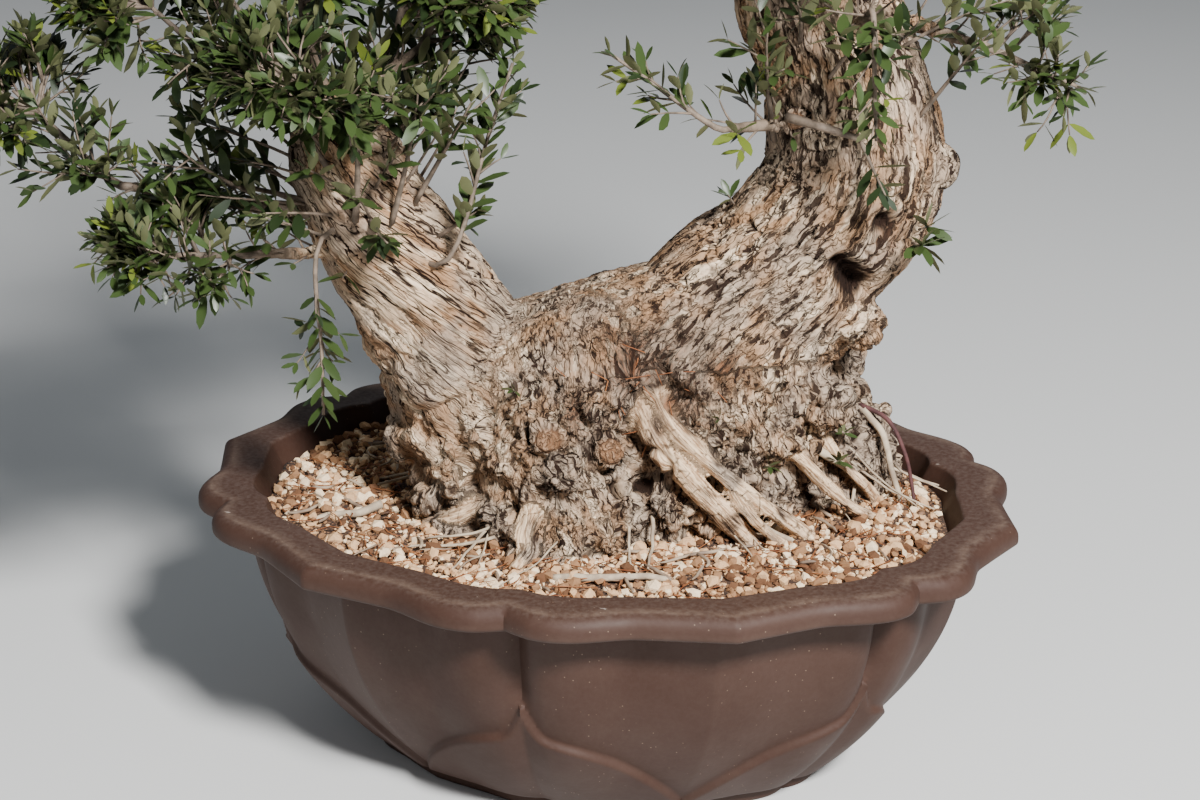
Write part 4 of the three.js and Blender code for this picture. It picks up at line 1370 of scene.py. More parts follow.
class Beads:
    """The limbs and boughs as rows of balls, to keep leaves and twigs out of them."""

    def __init__(self, limbs):
        along = np.linspace(0, 1, LIMB_BEADS + 1)[:-1]
        self.middles = np.concatenate([limb.curve.at(along) for limb in limbs.values()])
        self.radii = np.concatenate([limb.radius(along) for limb in limbs.values()]) + LIMB_CLEARANCE

    def clear(self, places):
        places = np.atleast_2d(places)
        away = np.linalg.norm(places[:, None] - self.middles[None], axis=2)
        return np.all(away >= self.radii, axis=1)


def splayed(axis, tilt, turn):
    """A direction at an angle to an axis, turned about it."""
    across = unit(np.cross(axis, (0, 0, 1) if abs(axis[2]) < 0.9 else (1, 0, 0)))
    other = np.cross(axis, across)
    return axis * math.cos(tilt) + (across * math.cos(turn) + other * math.sin(turn)) * math.sin(tilt)


def place_on_skin(name, share, turn):
    middle, half = MASSES[name][:2]
    rise = 2 * share - 1
    across = math.sqrt(max(0, 1 - rise * rise))
    return np.array(middle) + np.array([across * math.cos(turn), across * math.sin(turn), rise]) * half


def reach_within(name, start, heading):
    steps = np.arange(1, LONGEST_TWIG // 6 + 2) * 6
    kept = keeps_to_space(name, start + heading * steps[:, None], SPACE_MARGIN)
    return 6 * (int(np.argmin(kept)) if not kept.all() else len(steps))


def mass_stem(name, limbs):
    """A mass's stem from its bough's tip, or straight out of its limb, through its middle and beyond."""
    middle, _, _, *own = MASSES[name]
    middle = np.array(middle, float)
    if own:
        at, turn = own
        limb = limbs[name.split("_")[0]]
        heading = np.array([math.cos(math.radians(turn)), math.sin(math.radians(turn)), 0])
        start = limb.curve.at(at)
        lead = limb.radius(at) + SHOOT_LEAD
        radius = SHOOT_RADIUS
    else:
        limb = limbs[name]
        heading = limb.curve.heading(1)
        start = limb.curve.at(1) + heading * GAP
        lead = STEM_LEAD
        radius = limb.radius(1)
    first = start + heading * lead
    far = middle + (middle - first) * STEM_OVERRUN
    return Curve([start, first, middle, far]), radius


def entry_of(name, stem):
    entry = 0.12
    while entry < 0.8 and depth_in(name, stem.at(entry)) > 0.92:
        entry += 0.02
    return entry


class Crown:
    """All the twigs and leaves of one side of the tree, gathered as they grow."""

    # Shoots along an upright or hanging stem, and the length of a limb or bough for each shoot on it
    ON_STEM = 9
    BOUGH_SPACING = 16
    TWIG_SPACING = 15
    LOOSE_SPACING = 30

    def __init__(self, limbs, settings, seed):
        self.limbs = limbs
        self.beads = Beads(limbs)
        self.length = settings.leaf_length / MM
        self.share = settings.leaf_share
        self.spacing = settings.pair_spacing / MM
        self.chance = np.random.default_rng(seed)
        self.draw = self.chance.uniform
        self.twigs = Gather()
        self.leaves = []

    def twig(self, places, thick, thin, sides):
        radii = np.linspace(thick, thin, len(places))
        self.twigs.add(*tube(places, radii, sides))

    def pairs(self, places, from_share, size, tint, spacing=None):
        """Opposite pairs of leaves along a row of places, crosswise in turn, and a pair at the tip."""
        spacing = spacing or self.spacing
        reached = reached_along(places)
        length = reached[-1]
        first = length * from_share
        count = max(1, int((length - first) / spacing))
        stops = length - np.arange(count) * spacing * self.draw(0.85, 1.15)
        phase = self.draw(0, math.pi)
        for index, stop in enumerate(stops[stops > first]):
            root = between(stop, reached, places)
            axis = unit(root - between(max(0, stop - 4), reached, places))
            for half in (0, math.pi):
                turn = phase + index * math.pi / 2 + half + self.chance.normal(0, 0.2)
                tilts, share = ((38, 64), min(1, 0.8 + 0.08 * index)) if index else ((22, 40), 0.62)
                tilt = math.radians(self.draw(*tilts))
                grown = size * share * self.draw(0.8, 1.12)
                self.leaf(root, splayed(axis, tilt, turn), grown, tint)

    def leaf(self, root, heading, size, tint):
        heading = unit(heading + (0, 0, 0.12))
        facing = unit(self.chance.normal(0, 0.34, 3) + (0, 0, 1))
        if abs(np.dot(facing, heading)) > 0.95:
            facing = unit(facing + (0.5, 0.3, 0))
        self.leaves.append((root, heading, facing, self.length * size, tint))

    def tint(self, name, place):
        """The colour of a spray: young near the skin of its mass, dark in its depth."""
        deep = float(depth_in(name, place))
        luck = self.chance.random()
        if luck < 0.05 + 0.16 * (deep > 0.8):
            return 2
        return 0 if luck > 0.62 + 0.3 * (deep > 0.75) else 1

    def grow_mass(self, name, index, twig_count):
        random = mulberry(FIRST_SEED + index)
        stem, radius = mass_stem(name, self.limbs)
        entry = entry_of(name, stem)
        if radius < THICK_BOUGH:
            radius *= SHOOT_THINNING
        if name in SHOOTS:
            radius *= SHOOT_THINNING
        places = stem.at(np.linspace(0, 1, 16))
        places[0] -= stem.heading(0) * STEM_ROOTING
        self.twig(places, radius, 1.6, 8)
        if name in SHOOTS:
            self.grow_shoot(name, stem, entry)
            return
        leaves = MASSES[name][2]
        count = math.ceil(leaves / (1 + 2 * RULE_PAIRS)) + 1
        grown = 0
        for turn in range(6 * twig_count):
            share = (turn * GOLDEN_SHARE + 0.5 / count) % 1
            target = place_on_skin(name, share, turn * GOLDEN_ANGLE + next(random))
            root, end = self.twig_ends(name, stem, entry, target)
            if root is None:
                continue
            for _ in range(RULE_DRAWS):
                next(random)
            if grown > count:
                end = lerp(root, end, self.draw(0.55, 1))
            self.grow_twig(name, root, end, unit(stem.heading(entry)), radius)
            grown += 1
            if grown >= twig_count:
                break
        tip = stem.at(np.linspace(max(entry, 0.6), 1, 8))
        self.pairs(tip, 0.1, 1, self.tint(name, tip[-1]))

    def twig_ends(self, name, stem, entry, target):
        samples = stem.at(np.linspace(0, 1, 21))
        away = np.linalg.norm(samples - target, axis=1)
        best = (20 - int(np.argmin(away[::-1]))) / 20
        root = stem.at(max(entry, best - TWIG_SLANT))
        heading = unit(target - root)
        reach = reach_within(name, root, heading) - RULE_LEAF * 0.75
        end = root + heading * reach
        if reach < SHORTEST_TWIG or not self.beads.clear([end, (root + end) / 2]).all():
            return None, None
        return root, end + heading * RULE_LEAF * 0.3

    def bent(self, root, end, forward, count=8):
        """A twig's line: it leaves along the stem, swings outward and lifts its tip."""
        length = np.linalg.norm(end - root)
        middle = (root + end) / 2 + forward * 0.12 * length + self.chance.normal(0, 0.05 * length, 3)
        share = np.linspace(0, 1, count)[:, None]
        line = (1 - share) ** 2 * root + 2 * share * (1 - share) * middle + share**2 * end
        return line + np.array([0, 0, 0.05]) * length * share**3

    def grow_twig(self, name, root, end, forward, thickest):
        """A twig with leaves along it, and side shoots that fill the space round it."""
        line = self.bent(root, end, forward)
        length = np.linalg.norm(end - root)
        self.twig(line, min(0.5 * thickest, 2.9), 1.0, 5)
        self.pairs(line, 0.3, 1, self.tint(name, end))
        count = max(3, round(length / self.TWIG_SPACING))
        axis = unit(end - root)
        for side in range(count):
            share = lerp(0.12, 0.9, (side + self.chance.random()) / count)
            place = self.along(line, share)
            tilt = math.radians(self.draw(30, 62))
            heading = splayed(axis, tilt, side * GOLDEN_ANGLE + self.draw(-0.4, 0.4))
            heading = unit(heading + (0, 0, 0.22))
            reach = self.draw(44, 96) * (1.15 - 0.45 * share)
            branch = self.side_shoot(name, place, heading, reach, axis, 1.5)
            if branch is not None and self.chance.random() < 0.55:
                axis_two = unit(branch[-1] - branch[0])
                turn = self.draw(0, 2 * math.pi)
                heading = splayed(axis_two, math.radians(self.draw(34, 56)), turn)
                reach = self.draw(24, 44)
                self.side_shoot(name, self.along(branch, 0.4), heading, reach, axis_two, 1.0)

    def along(self, line, share):
        return between(share, np.linspace(0, 1, len(line)), line)

    def side_shoot(self, name, place, heading, reach, forward, thick):
        """A shoot with leaves in pairs, shortened until it keeps to its mass's space."""
        tip = place + heading * reach
        while reach > SHORTEST_SHOOT and not self.fits(name, tip, heading):
            reach -= 8
            tip = place + heading * reach
        if reach <= SHORTEST_SHOOT or not self.beads.clear(tip)[0]:
            return None
        return self.leafy(name, place, tip, forward, thick, 4, 0.14, 0.95)

    def leafy(self, name, place, tip, forward, thick, sides, bare, size):
        """A twig with leaves in pairs beyond its bare share, in the tints of a mass or of old wood."""
        branch = self.bent(place, tip, forward, 5)
        self.twig(branch, thick, 0.7, sides)
        self.pairs(branch, bare, size, self.tint(name, tip) if name else 1)
        return branch

    def fits(self, name, tip, heading):
        middle = tip + heading * self.length * 0.5
        return bool(keeps_to_space(name, middle[None], SHOOT_MARGIN)[0])

    def grow_shoot(self, name, stem, entry):
        line = stem.at(np.linspace(entry * 0.8, 1, 26))
        self.pairs(line, 0.02, 0.9, 1, self.spacing * 0.95)
        for side in range(self.ON_STEM):
            place = stem.at(lerp(entry, 0.9, (side + 0.5) / self.ON_STEM))
            axis = stem.heading(0.7)
            heading = splayed(axis, math.radians(42), side * GOLDEN_ANGLE)
            tip = place + heading * self.draw(24, 50)
            if not self.fits(name, tip, heading) or not self.beads.clear(tip)[0]:
                continue
            self.leafy(name, place, tip, axis, 1.4, 4, 0.2, 0.85)

    def grow_bough(self, name):
        """Short leafy twigs on the outer part of a bough, before its mass begins."""
        bough = self.limbs[name]
        count = round(bough.curve.length / self.BOUGH_SPACING)
        for side in range(count):
            along = lerp(0.45, 0.98, (side + 0.5) / count)
            place, axis = bough.curve.at(along), bough.curve.heading(along)
            heading = splayed(axis, math.radians(self.draw(40, 66)), side * GOLDEN_ANGLE)
            heading = unit(heading + (0, 0, 0.3))
            tip = place + heading * self.draw(28, 64)
            if not self.beads.clear(tip)[0] or not self.beads.clear(tip + heading * 20)[0]:
                continue
            self.leafy(name, place, tip, axis, 1.6, 5, 0.3, 0.95)

    def clothe(self, side, first, last, count):
        """Short leafy shoots out of old wood, between two places along a limb."""
        limb = self.limbs[side]
        for index in range(count):
            along = lerp(first, last, (index + 0.5) / count)
            axis = limb.curve.heading(along)
            outward = splayed(axis, math.pi / 2, index * GOLDEN_ANGLE)
            start = limb.curve.at(along) + outward * limb.radius(along)
            heading = outward + 0.7 * axis + self.chance.normal(0, 0.2, 3)
            self.loose_shoot(start, heading, self.draw(60, 120), 2.0)

    def loose_shoot(self, place, heading, length, radius):
        """A shoot from old wood, bare below and leafy above, with side twigs on a long one."""
        heading = unit(np.array(heading, float))
        start = np.array(place, float) - 8 * heading
        line = self.bent(start, start + heading * (length + 8), heading + (0, 0, 0.5), 10)
        self.twig(line, radius, 0.8, 6)
        self.pairs(line, 0.34, 0.95, int(self.chance.random() < 0.6))
        for side in range(int(length / self.LOOSE_SPACING) - 2):
            root = self.along(line, lerp(0.4, 0.9, self.chance.random()))
            turn = side * GOLDEN_ANGLE + self.draw(0, 1)
            twig_heading = splayed(heading, math.radians(self.draw(34, 58)), turn)
            tip = root + twig_heading * self.draw(30, 56)
            self.leafy(None, root, tip, heading, 1.3, 4, 0.2, 0.95)

    def sprig(self, place, heading, count, size, tint):
        """A few small leaves straight from old wood."""
        heading = unit(np.array(heading, float))
        line = np.array(place) + heading * np.linspace(-4, 12, 4)[:, None]
        self.twig(line, 1.3, 0.7, 4)
        for index in range(count):
            turn = index * GOLDEN_ANGLE
            tilt = math.radians(self.draw(25, 75))
            root = line[-1] - heading * self.draw(0, 8)
            self.leaf(root, splayed(heading, tilt, turn), size, tint)

    def leaf_mesh(self, name, finishes):
        """The leaves as one mesh: each a thin folded blade of two faces, with its edge kept crisp."""
        roots, heading, facing, length, tints = (np.array(column) for column in zip(*self.leaves))
        side = unit(np.cross(facing, heading))
        normal = np.cross(heading, side)
        count = len(roots)
        fold = self.draw(0.05, 0.3, count)
        arch = self.chance.normal(0.07, 0.07, count)
        width = length * self.share / 2
        x = LEAF_SHARES * length[:, None]
        y = LEAF_WIDTHS * width[:, None]
        z = (
            np.abs(LEAF_WIDTHS) * (fold * width)[:, None]
            - (arch * length)[:, None] * LEAF_SHARES**2
            + LEAF_LIFTS * LEAF_THICKNESS * length[:, None]
        )
        points = (
            roots[:, None]
            + x[..., None] * heading[:, None]
            + y[..., None] * side[:, None]
            + z[..., None] * normal[:, None]
        )
        half = [(0, 8, 1), (1, 8, 2), (2, 8, 9), (2, 9, 3), (3, 9, 4)]
        mirrored = {1: 7, 2: 6, 3: 5}
        over = [tuple(reversed(face)) for face in half]
        over += [tuple(mirrored.get(vertex, vertex) for vertex in face) for face in half]
        under = [tuple(v + 2 * (v >= LEAF_EDGE) for v in reversed(face)) for face in over]
        one = np.array(over + under)
        points_each = len(LEAF_SHARES)
        faces = (one + points_each * np.arange(count)[:, None, None]).reshape(-1, 3)
        finish = np.where(np.arange(len(one)) < len(over), tints[:, None], 3).ravel()
        gather = Gather()
        gather.add(points.reshape(-1, 3), faces, finish)
        piece = gather.piece(name, finishes, turn=TREE_TURN)
        mesh = piece.data
        ends = np.empty(2 * len(mesh.edges), np.int32)
        mesh.edges.foreach_get("vertices", ends)
        rim = np.all(ends.reshape(-1, 2) % points_each < LEAF_EDGE, axis=1)
        mesh.attributes.new("sharp_edge", "BOOLEAN", "EDGE").data.foreach_set("value", rim)
        return piece


class BONSAI_OT_foliage(bpy.types.Operator):
    """Grow the twigs and leaves of both crowns by the rule of the foliage masses"""

    bl_idname = "bonsai.foliage"
    bl_label = "Twigs and Leaves"

    TWIGS_IN_MASS = {"left": 18, "right": 16}
    SPARSE = {"right_shoulder": 7}
    # Where leafy shoots come straight from each limb: from and to along it, and how many
    CLOTHED = {"left": (0.75, 0.99, 38), "right": (0.72, 0.98, 24)}
    # Slender shoots in front of the limb: place, heading, length, radius
    LOOSE = {
        "left": [
            ((-249, -69, 597), (0.05, -0.35, 0.95), 165, 4.2),
            ((-213, -65, 590), (0.22, -0.3, 0.92), 150, 3.8),
            ((-233, -68, 589), (0.3, -0.9, -0.1), 66, 2.4),
            ((-190, -44, 604), (0.45, -0.35, 0.8), 130, 3.2),
            ((-167, -41, 567), (0.62, -0.5, 0.5), 60, 2.6),
            ((-273, -59, 640), (-0.3, -0.5, 0.8), 140, 3.6),
            ((-300, -40, 587), (-0.75, -0.4, 0.5), 150, 4.0),
            ((-300, -36, 600), (-0.85, -0.2, 0.15), 130, 3.4),
        ],
        "right": [
            ((314, -40, 690), (0.45, -0.5, 0.75), 120, 2.6),
            ((300, -30, 760), (0.8, -0.3, 0.4), 110, 2.4),
            ((250, -68, 679), (0.25, -0.75, -0.55), 85, 3.0),
            ((244, -70, 684), (0.1, -0.9, 0.35), 60, 2.4),
            ((221, -63, 735), (0.2, -0.8, 0.5), 90, 2.4),
            ((260, -60, 752), (0.4, -0.7, 0.5), 90, 2.4),
            ((170, -30, 668), (-0.1, -0.6, 0.8), 150, 3.2),
            ((191, -55, 771), (-0.1, -0.8, 0.5), 90, 2.4),
        ],
    }
    DEAD_TWIG = [(180, -58, 694), (205, -76, 691), (232, -81, 684), (254, -75, 675)]
    # Leaves straight from old wood: place, heading, how many, share of a grown leaf
    SPRIGS = {
        "left": [
            ((-91, -96, 419), (-0.1, -0.9, 0.5), 5, 0.4),
            ((-228, -72, 582), (0.3, -0.9, -0.3), 9, 0.85),
            ((-261, -56, 534), (-0.3, -0.9, -0.3), 3, 0.7),
        ],
        "right": [
            ((247, -8, 338), (0.5, -0.7, 0.5), 6, 0.45),
            ((240, -22, 312), (0.4, -0.8, 0.5), 7, 0.5),
            ((165, -80, 330), (0.4, -0.8, 0.4), 5, 0.45),
            ((115, -100, 391), (0.1, -0.9, 0.4), 4, 0.4),
            ((312, -66, 566), (0.5, -0.8, 0.0), 9, 0.9),
            ((318, -60, 580), (0.6, -0.6, 0.4), 7, 0.8),
            ((132, 0, 590), (-0.5, -0.3, 0.8), 7, 0.6),
        ],
    }

    def execute(self, context):
        settings = context.scene.bonsai_foliage
        limbs = all_limbs()
        wood = context.scene.bonsai_wood
        finishes = [
            leaf_finish("leaf_dark", settings.dark_leaf, 0.42),
            leaf_finish("leaf_middle", settings.mid_leaf, 0.4),
            leaf_finish("leaf_young", settings.young_leaf, 0.42),
            leaf_finish("leaf_underside", settings.underside, 0.6),
        ]
        # Twig bark in soft spots of young bark and its lit copy: painted light
        bark = [two_tone_finish("twig_bark", 0.75, wood.young_bark, wood.lit_shoot_bark, 90, 3, (420, 0.4, 0.6))]
        for side, names in (("left", LEFT), ("right", RIGHT)):
            crown = Crown(limbs, settings, CROWN_SEEDS[side])
            masses = [name for name in MASSES if name.startswith(side)]
            nodes = [f"foliage_{name}" for name in masses]
            for name in masses:
                twigs = self.SPARSE.get(name, self.TWIGS_IN_MASS[side])
                crown.grow_mass(name, list(MASSES).index(name), twigs)
            for name in names:
                crown.grow_bough(name)
            crown.clothe(side, *self.CLOTHED[side])
            for shoot in self.LOOSE[side]:
                crown.loose_shoot(*shoot)
            for place, heading, count, size in self.SPRIGS[side]:
                crown.sprig(place, heading, count, size, 1)
            if side == "right":
                crown.twig(Curve(self.DEAD_TWIG).at(np.linspace(0, 1, 10)), 5.2, 3.4, 7)
            settle(crown.leaf_mesh(f"leaves_{side}", finishes), "foliage", *nodes)
            settle(crown.twigs.piece(f"twigs_{side}", bark, turn=TREE_TURN), "bough", *nodes)
        return {"FINISHED"}


def lobe_position(angle):
    """Where an angle lies between the nearest corner, 0, and the nearest notch, 1."""
    sector = 2 * math.pi / LOBES
    offset = angle % sector
    return 2 * np.minimum(offset, sector - offset) / sector


def lobe_outline(angle):
    position = lobe_position(angle)
    corner = CORNER_POINT * np.maximum(0, 1 - position / CORNER_ENDS) ** 2
    from_bump = np.minimum(1, np.abs(position - BUMP_POSITION) / BUMP_REACH)
    bump = LOBE_BUMP * np.cos(from_bump * math.pi / 2) ** 2
    notch = NOTCH_CUT * np.maximum(0, 1 - (1 - position) / NOTCH_REACH)
    return LOBE_MIDDLE + corner + bump - notch


def petal_top(angle):
    """A petal drops from a point under a notch to a shoulder, and sweeps from there to the corners."""
    from_notch = 1 - lobe_position(angle)
    shoulder = PETAL_SHOULDER * (1 - from_notch**PETAL_CURVE)
    tip = (1 - PETAL_SHOULDER) * np.maximum(0, 1 - from_notch / PETAL_TIP) ** 2
    return lerp(FOOT_HEIGHT, PETAL_TOP, shoulder + tip)


def wall_share(z):
    height = min(1, max(0, (z - FOOT_HEIGHT) / (POT_HEIGHT - RIM_HEIGHT - FOOT_HEIGHT)))
    return lerp(FOOT_SHARE, WALL_SHARE, 1 - (1 - height) ** WALL_CURVE)


def wall_lobing(z):
    return lerp(FOOT_LOBING, 1, z / POT_HEIGHT)


def rounded(centre_inset, centre_z, radius, first, last, lobing=1.0):
    """Stations round an edge of the rim, from one angle to another in degrees, 0 being outward."""
    rows = []
    for degrees in np.linspace(first, last, EDGE_ROWS):
        angle = math.radians(degrees)
        inset = centre_inset - radius * math.cos(angle)
        rows.append((1, inset, centre_z + radius * math.sin(angle), lobing, False))
    return rows


def pot_stations():
    """The pot's profile from the middle of its underside to the middle of its floor inside."""
    rim_foot = POT_HEIGHT - RIM_HEIGHT
    foot = [(0.02, 0, 0, 0, False), (0.3, 0, 0, 0.2, False)]
    edge = [(4, 0, False), (1, 1.2, False), (0, 4, False)]
    edge += [(0, FOOT_HEIGHT - FOOT_EDGE - 1, False), (-1, FOOT_HEIGHT - 2, True)]
    foot += [(FOOT_SHARE, FOOT_SET_BACK + back, z, FOOT_LOBING, outside) for back, z, outside in edge]
    wall = []
    for row in range(WALL_ROWS + 1):
        z = lerp(FOOT_HEIGHT, rim_foot - 2, row / WALL_ROWS)
        wall.append((wall_share(z), 0, z, wall_lobing(z), True))
    cove = [(WALL_SHARE + 0.01, 0, rim_foot - 0.6, 0.97, False)]
    cove += [(WALL_SHARE + 0.04, 0, rim_foot, 1, False)]
    under = [(1, RIM_LIP + 10, rim_foot, 1, False)]
    under += rounded(RIM_LIP, rim_foot + RIM_LIP, RIM_LIP, -90, 0)
    shoulder = rounded(RIM_ROUNDING, POT_HEIGHT - RIM_ROUNDING, RIM_ROUNDING, 0, 90)
    flat = []
    for share in (0.3, 0.6):
        inset, lobing = lerp(RIM_ROUNDING, RIM_WIDTH, share), lerp(1, INNER_LOBING, share**2)
        flat.append((1, inset, POT_HEIGHT, lobing, False))
    radius = RIM_INNER_EDGE
    inner_edge = rounded(RIM_WIDTH - radius, POT_HEIGHT - radius, radius, 90, 180, INNER_LOBING)
    inner_heights = (258, 240, 200, 160, 110, 68, FLOOR + 6)
    inner = [(wall_share(z), WALL, z, INNER_LOBING, False) for z in inner_heights]
    floor = [(wall_share(FLOOR), WALL + 6, FLOOR, INNER_LOBING, False), (0.02, 0, FLOOR, 0, False)]
    return foot + wall + cove + under + shoulder + flat + inner_edge + inner + floor


class BONSAI_OT_pot(bpy.types.Operator):
    """Throw the pot ring by ring and press in its lobes, petals and grooves"""

    bl_idname = "bonsai.pot"
    bl_label = "Pot"

    def execute(self, context):
        deselect_all()
        stations = pot_stations()
        share, _, z, *_ = stations[0]
        bpy.ops.mesh.primitive_circle_add(
            vertices=POT_SEGMENTS,
            radius=share * POT_HALF_LENGTH * MM,
            fill_type="NGON",
            location=(0, 0, z * MM),
        )
        pot = context.object
        pot.name = pot.data.name = "lobed_pot"
        bpy.ops.object.transform_apply(location=True)
        bpy.ops.object.mode_set(mode="EDIT")
        bpy.ops.mesh.delete(type="ONLY_FACE")
        bpy.ops.mesh.select_all(action="SELECT")
        for before, after in zip(stations, stations[1:]):
            old, new = (row[0] * POT_HALF_LENGTH - row[1] for row in (before, after))
            rise = (0, 0, (after[2] - before[2]) * MM)
            bpy.ops.mesh.extrude_region_move(TRANSFORM_OT_translate={"value": rise})
            bpy.ops.transform.resize(value=(new / old, new / old, 1), center_override=(0, 0, 0))
        bpy.ops.mesh.edge_face_add()
        bpy.ops.mesh.select_all(action="SELECT")
        bpy.ops.mesh.normals_make_consistent(inside=False)
        bpy.ops.object.mode_set(mode="OBJECT")
        shape = bmesh.new()
        shape.from_mesh(pot.data)
        open_edges = [edge for edge in shape.edges if len(edge.link_faces) == 1]
        bmesh.ops.holes_fill(shape, edges=open_edges, sides=0)
        bmesh.ops.recalc_face_normals(shape, faces=shape.faces)
        shape.to_mesh(pot.data)
        shape.free()
        self.press_lobes(pot.data, stations)
        pot.data.materials.append(clay_finish(context.scene.bonsai_pot))
        select_only(pot)
        bpy.ops.object.shade_smooth_by_angle(angle=math.radians(40))
        settle(pot, "pot", "pot")
        return {"FINISHED"}

    def press_lobes(self, mesh, stations):
        """Moves every ring's points to the lobed plan, raises the petals and cuts the grooves."""
        points = read_vectors(mesh.vertices, "co") / MM
        angle = np.arctan2(points[:, 1], points[:, 0])
        row = np.arange(len(points)) // POT_SEGMENTS
        share, inset, z, lobing, outside = (np.array(column, float)[row] for column in zip(*stations))
        outline = lobe_outline(angle)
        lobed = share * lerp(1, outline, lobing)
        step = math.radians(0.5)
        rise = petal_top(angle + step) - petal_top(angle - step)
        steep = rise / (2 * step * POT_HALF_LENGTH * np.maximum(share, FOOT_SHARE))
        inside = (petal_top(angle) - z) / np.sqrt(1 + steep**2)
        raised = outside * PETAL_RAISE * smoothstep(inside, -PETAL_EDGE / 2, PETAL_EDGE / 2)
        from_notch = (1 - lobe_position(angle)) * math.pi / LOBES * POT_HALF_LENGTH * share
        above = smoothstep(z, PETAL_TOP - 6, PETAL_TOP + 22)
        groove = outside * NOTCH_GROOVE * bell(from_notch, GROOVE_WIDTH) * above
        out = raised - groove - inset
        x = (POT_HALF_LENGTH * lobed + out) * np.cos(angle)
        y = (POT_HALF_DEPTH * lobed + out) * np.sin(angle)
        write_points(mesh, np.stack([x, y, z], 1) * MM)
        rim = (z > POT_HEIGHT - RIM_HEIGHT) & (share == 1)
        # A thin pale line where the rim's flat top meets its rounded shoulder, partly wear and partly a
        # painted highlight, and a faint pale line along the lower outer edge of the rim
        edge = rim * bell(inset - RIM_ROUNDING, 2) * (z > POT_HEIGHT - 5)
        edge = np.maximum(edge, 0.15 * rim * (inset < 1) * (z < POT_HEIGHT - RIM_HEIGHT + RIM_LIP + 2))
        rim_top = rim * smoothstep(z, POT_HEIGHT - 4, POT_HEIGHT - 0.5)
        write_attribute(mesh, "edge", edge)
        write_attribute(mesh, "rim_top", rim_top)


def inner_radius(angle):
    """The inside of the pot at the soil's top, in a direction."""
    lobed = wall_share(SOIL_TOP) * lerp(1, lobe_outline(angle), INNER_LOBING)
    long = POT_HALF_LENGTH * lobed - WALL
    deep = POT_HALF_DEPTH * lobed - WALL
    return long, deep


def soil_height(places, noise):
    """The level of the soil under a place in the pot's plan."""
    flat = np.concatenate([places[:, :2], np.zeros((len(places), 1))], axis=1)
    return SOIL_TOP - 3 + 4.0 * noise.layered(flat / 60, 3) + 1.2 * noise.smooth(flat / 11)


class BONSAI_OT_soil(bpy.types.Operator):
    """Fill the pot with soil up to just below its rim"""

    bl_idname = "bonsai.soil"
    bl_label = "Soil"

    def execute(self, context):
        angles = np.linspace(0, 2 * math.pi, SOIL_SEGMENTS, endpoint=False)
        long, deep = inner_radius(angles)
        noise = Noise(SOIL_SEED)
        rings = []
        for share in np.linspace(1, 0.01, SOIL_ROWS):
            x = share * (long - 0.5) * np.cos(angles)
            y = share * (deep - 0.5) * np.sin(angles)
            ring = np.stack([x, y, np.zeros(SOIL_SEGMENTS)], 1)
            ring[:, 2] = soil_height(ring, noise)
            rings.append(ring)
        rings.insert(0, rings[0] * (0.96, 0.96, 0) + (0, 0, SOIL_TOP - 70))
        rings.insert(0, rings[0] * (0.02, 0.02, 1))
        ends = np.array([rings[0].mean(0), rings[-1].mean(0)])
        soil = Gather()
        soil.add(np.concatenate([*rings, ends]), tube_faces(len(rings), SOIL_SEGMENTS))
        piece = soil.piece("soil_bed", [humus_finish(context.scene.bonsai_soil)])
        settle(piece, "soil", "soil")
        return {"FINISHED"}


def random_turns(chance, count):
    """Random turns as matrices, from random quaternions."""
    w, x, y, z = unit(chance.normal(size=(count, 4))).T
    rows = [
        [1 - 2 * (y * y + z * z), 2 * (x * y - z * w), 2 * (x * z + y * w)],
        [2 * (x * y + z * w), 1 - 2 * (x * x + z * z), 2 * (y * z - x * w)],
        [2 * (x * z - y * w), 2 * (y * z + x * w), 1 - 2 * (x * x + y * y)],
    ]
    return np.stack([np.stack(row, 1) for row in rows], 1)


def scattered(chance, count, margin):
    """Random places in the pot's plan, off the foot of the trunk."""
    places = np.empty((0, 3))
    while len(places) < count:
        angle = chance.uniform(0, 2 * math.pi, 2 * count)
        share = np.sqrt(chance.random(2 * count))
        long, deep = inner_radius(angle)
        x = share * (long - margin) * np.cos(angle)
        y = share * (deep - margin) * np.sin(angle)
        spread = np.stack([x, y, np.zeros(2 * count)], 1)
        in_tree = turned(spread, -TREE_TURN)
        x, y, *_ = base_ring(SOIL_TOP)
        around = np.arctan2(in_tree[:, 1] - y, in_tree[:, 0] - x)
        away = np.hypot(in_tree[:, 0] - x, in_tree[:, 1] - y)
        kept = spread[away > base_radius(SOIL_TOP, around) - 6]
        places = np.concatenate([places, kept])
    return places[:count]


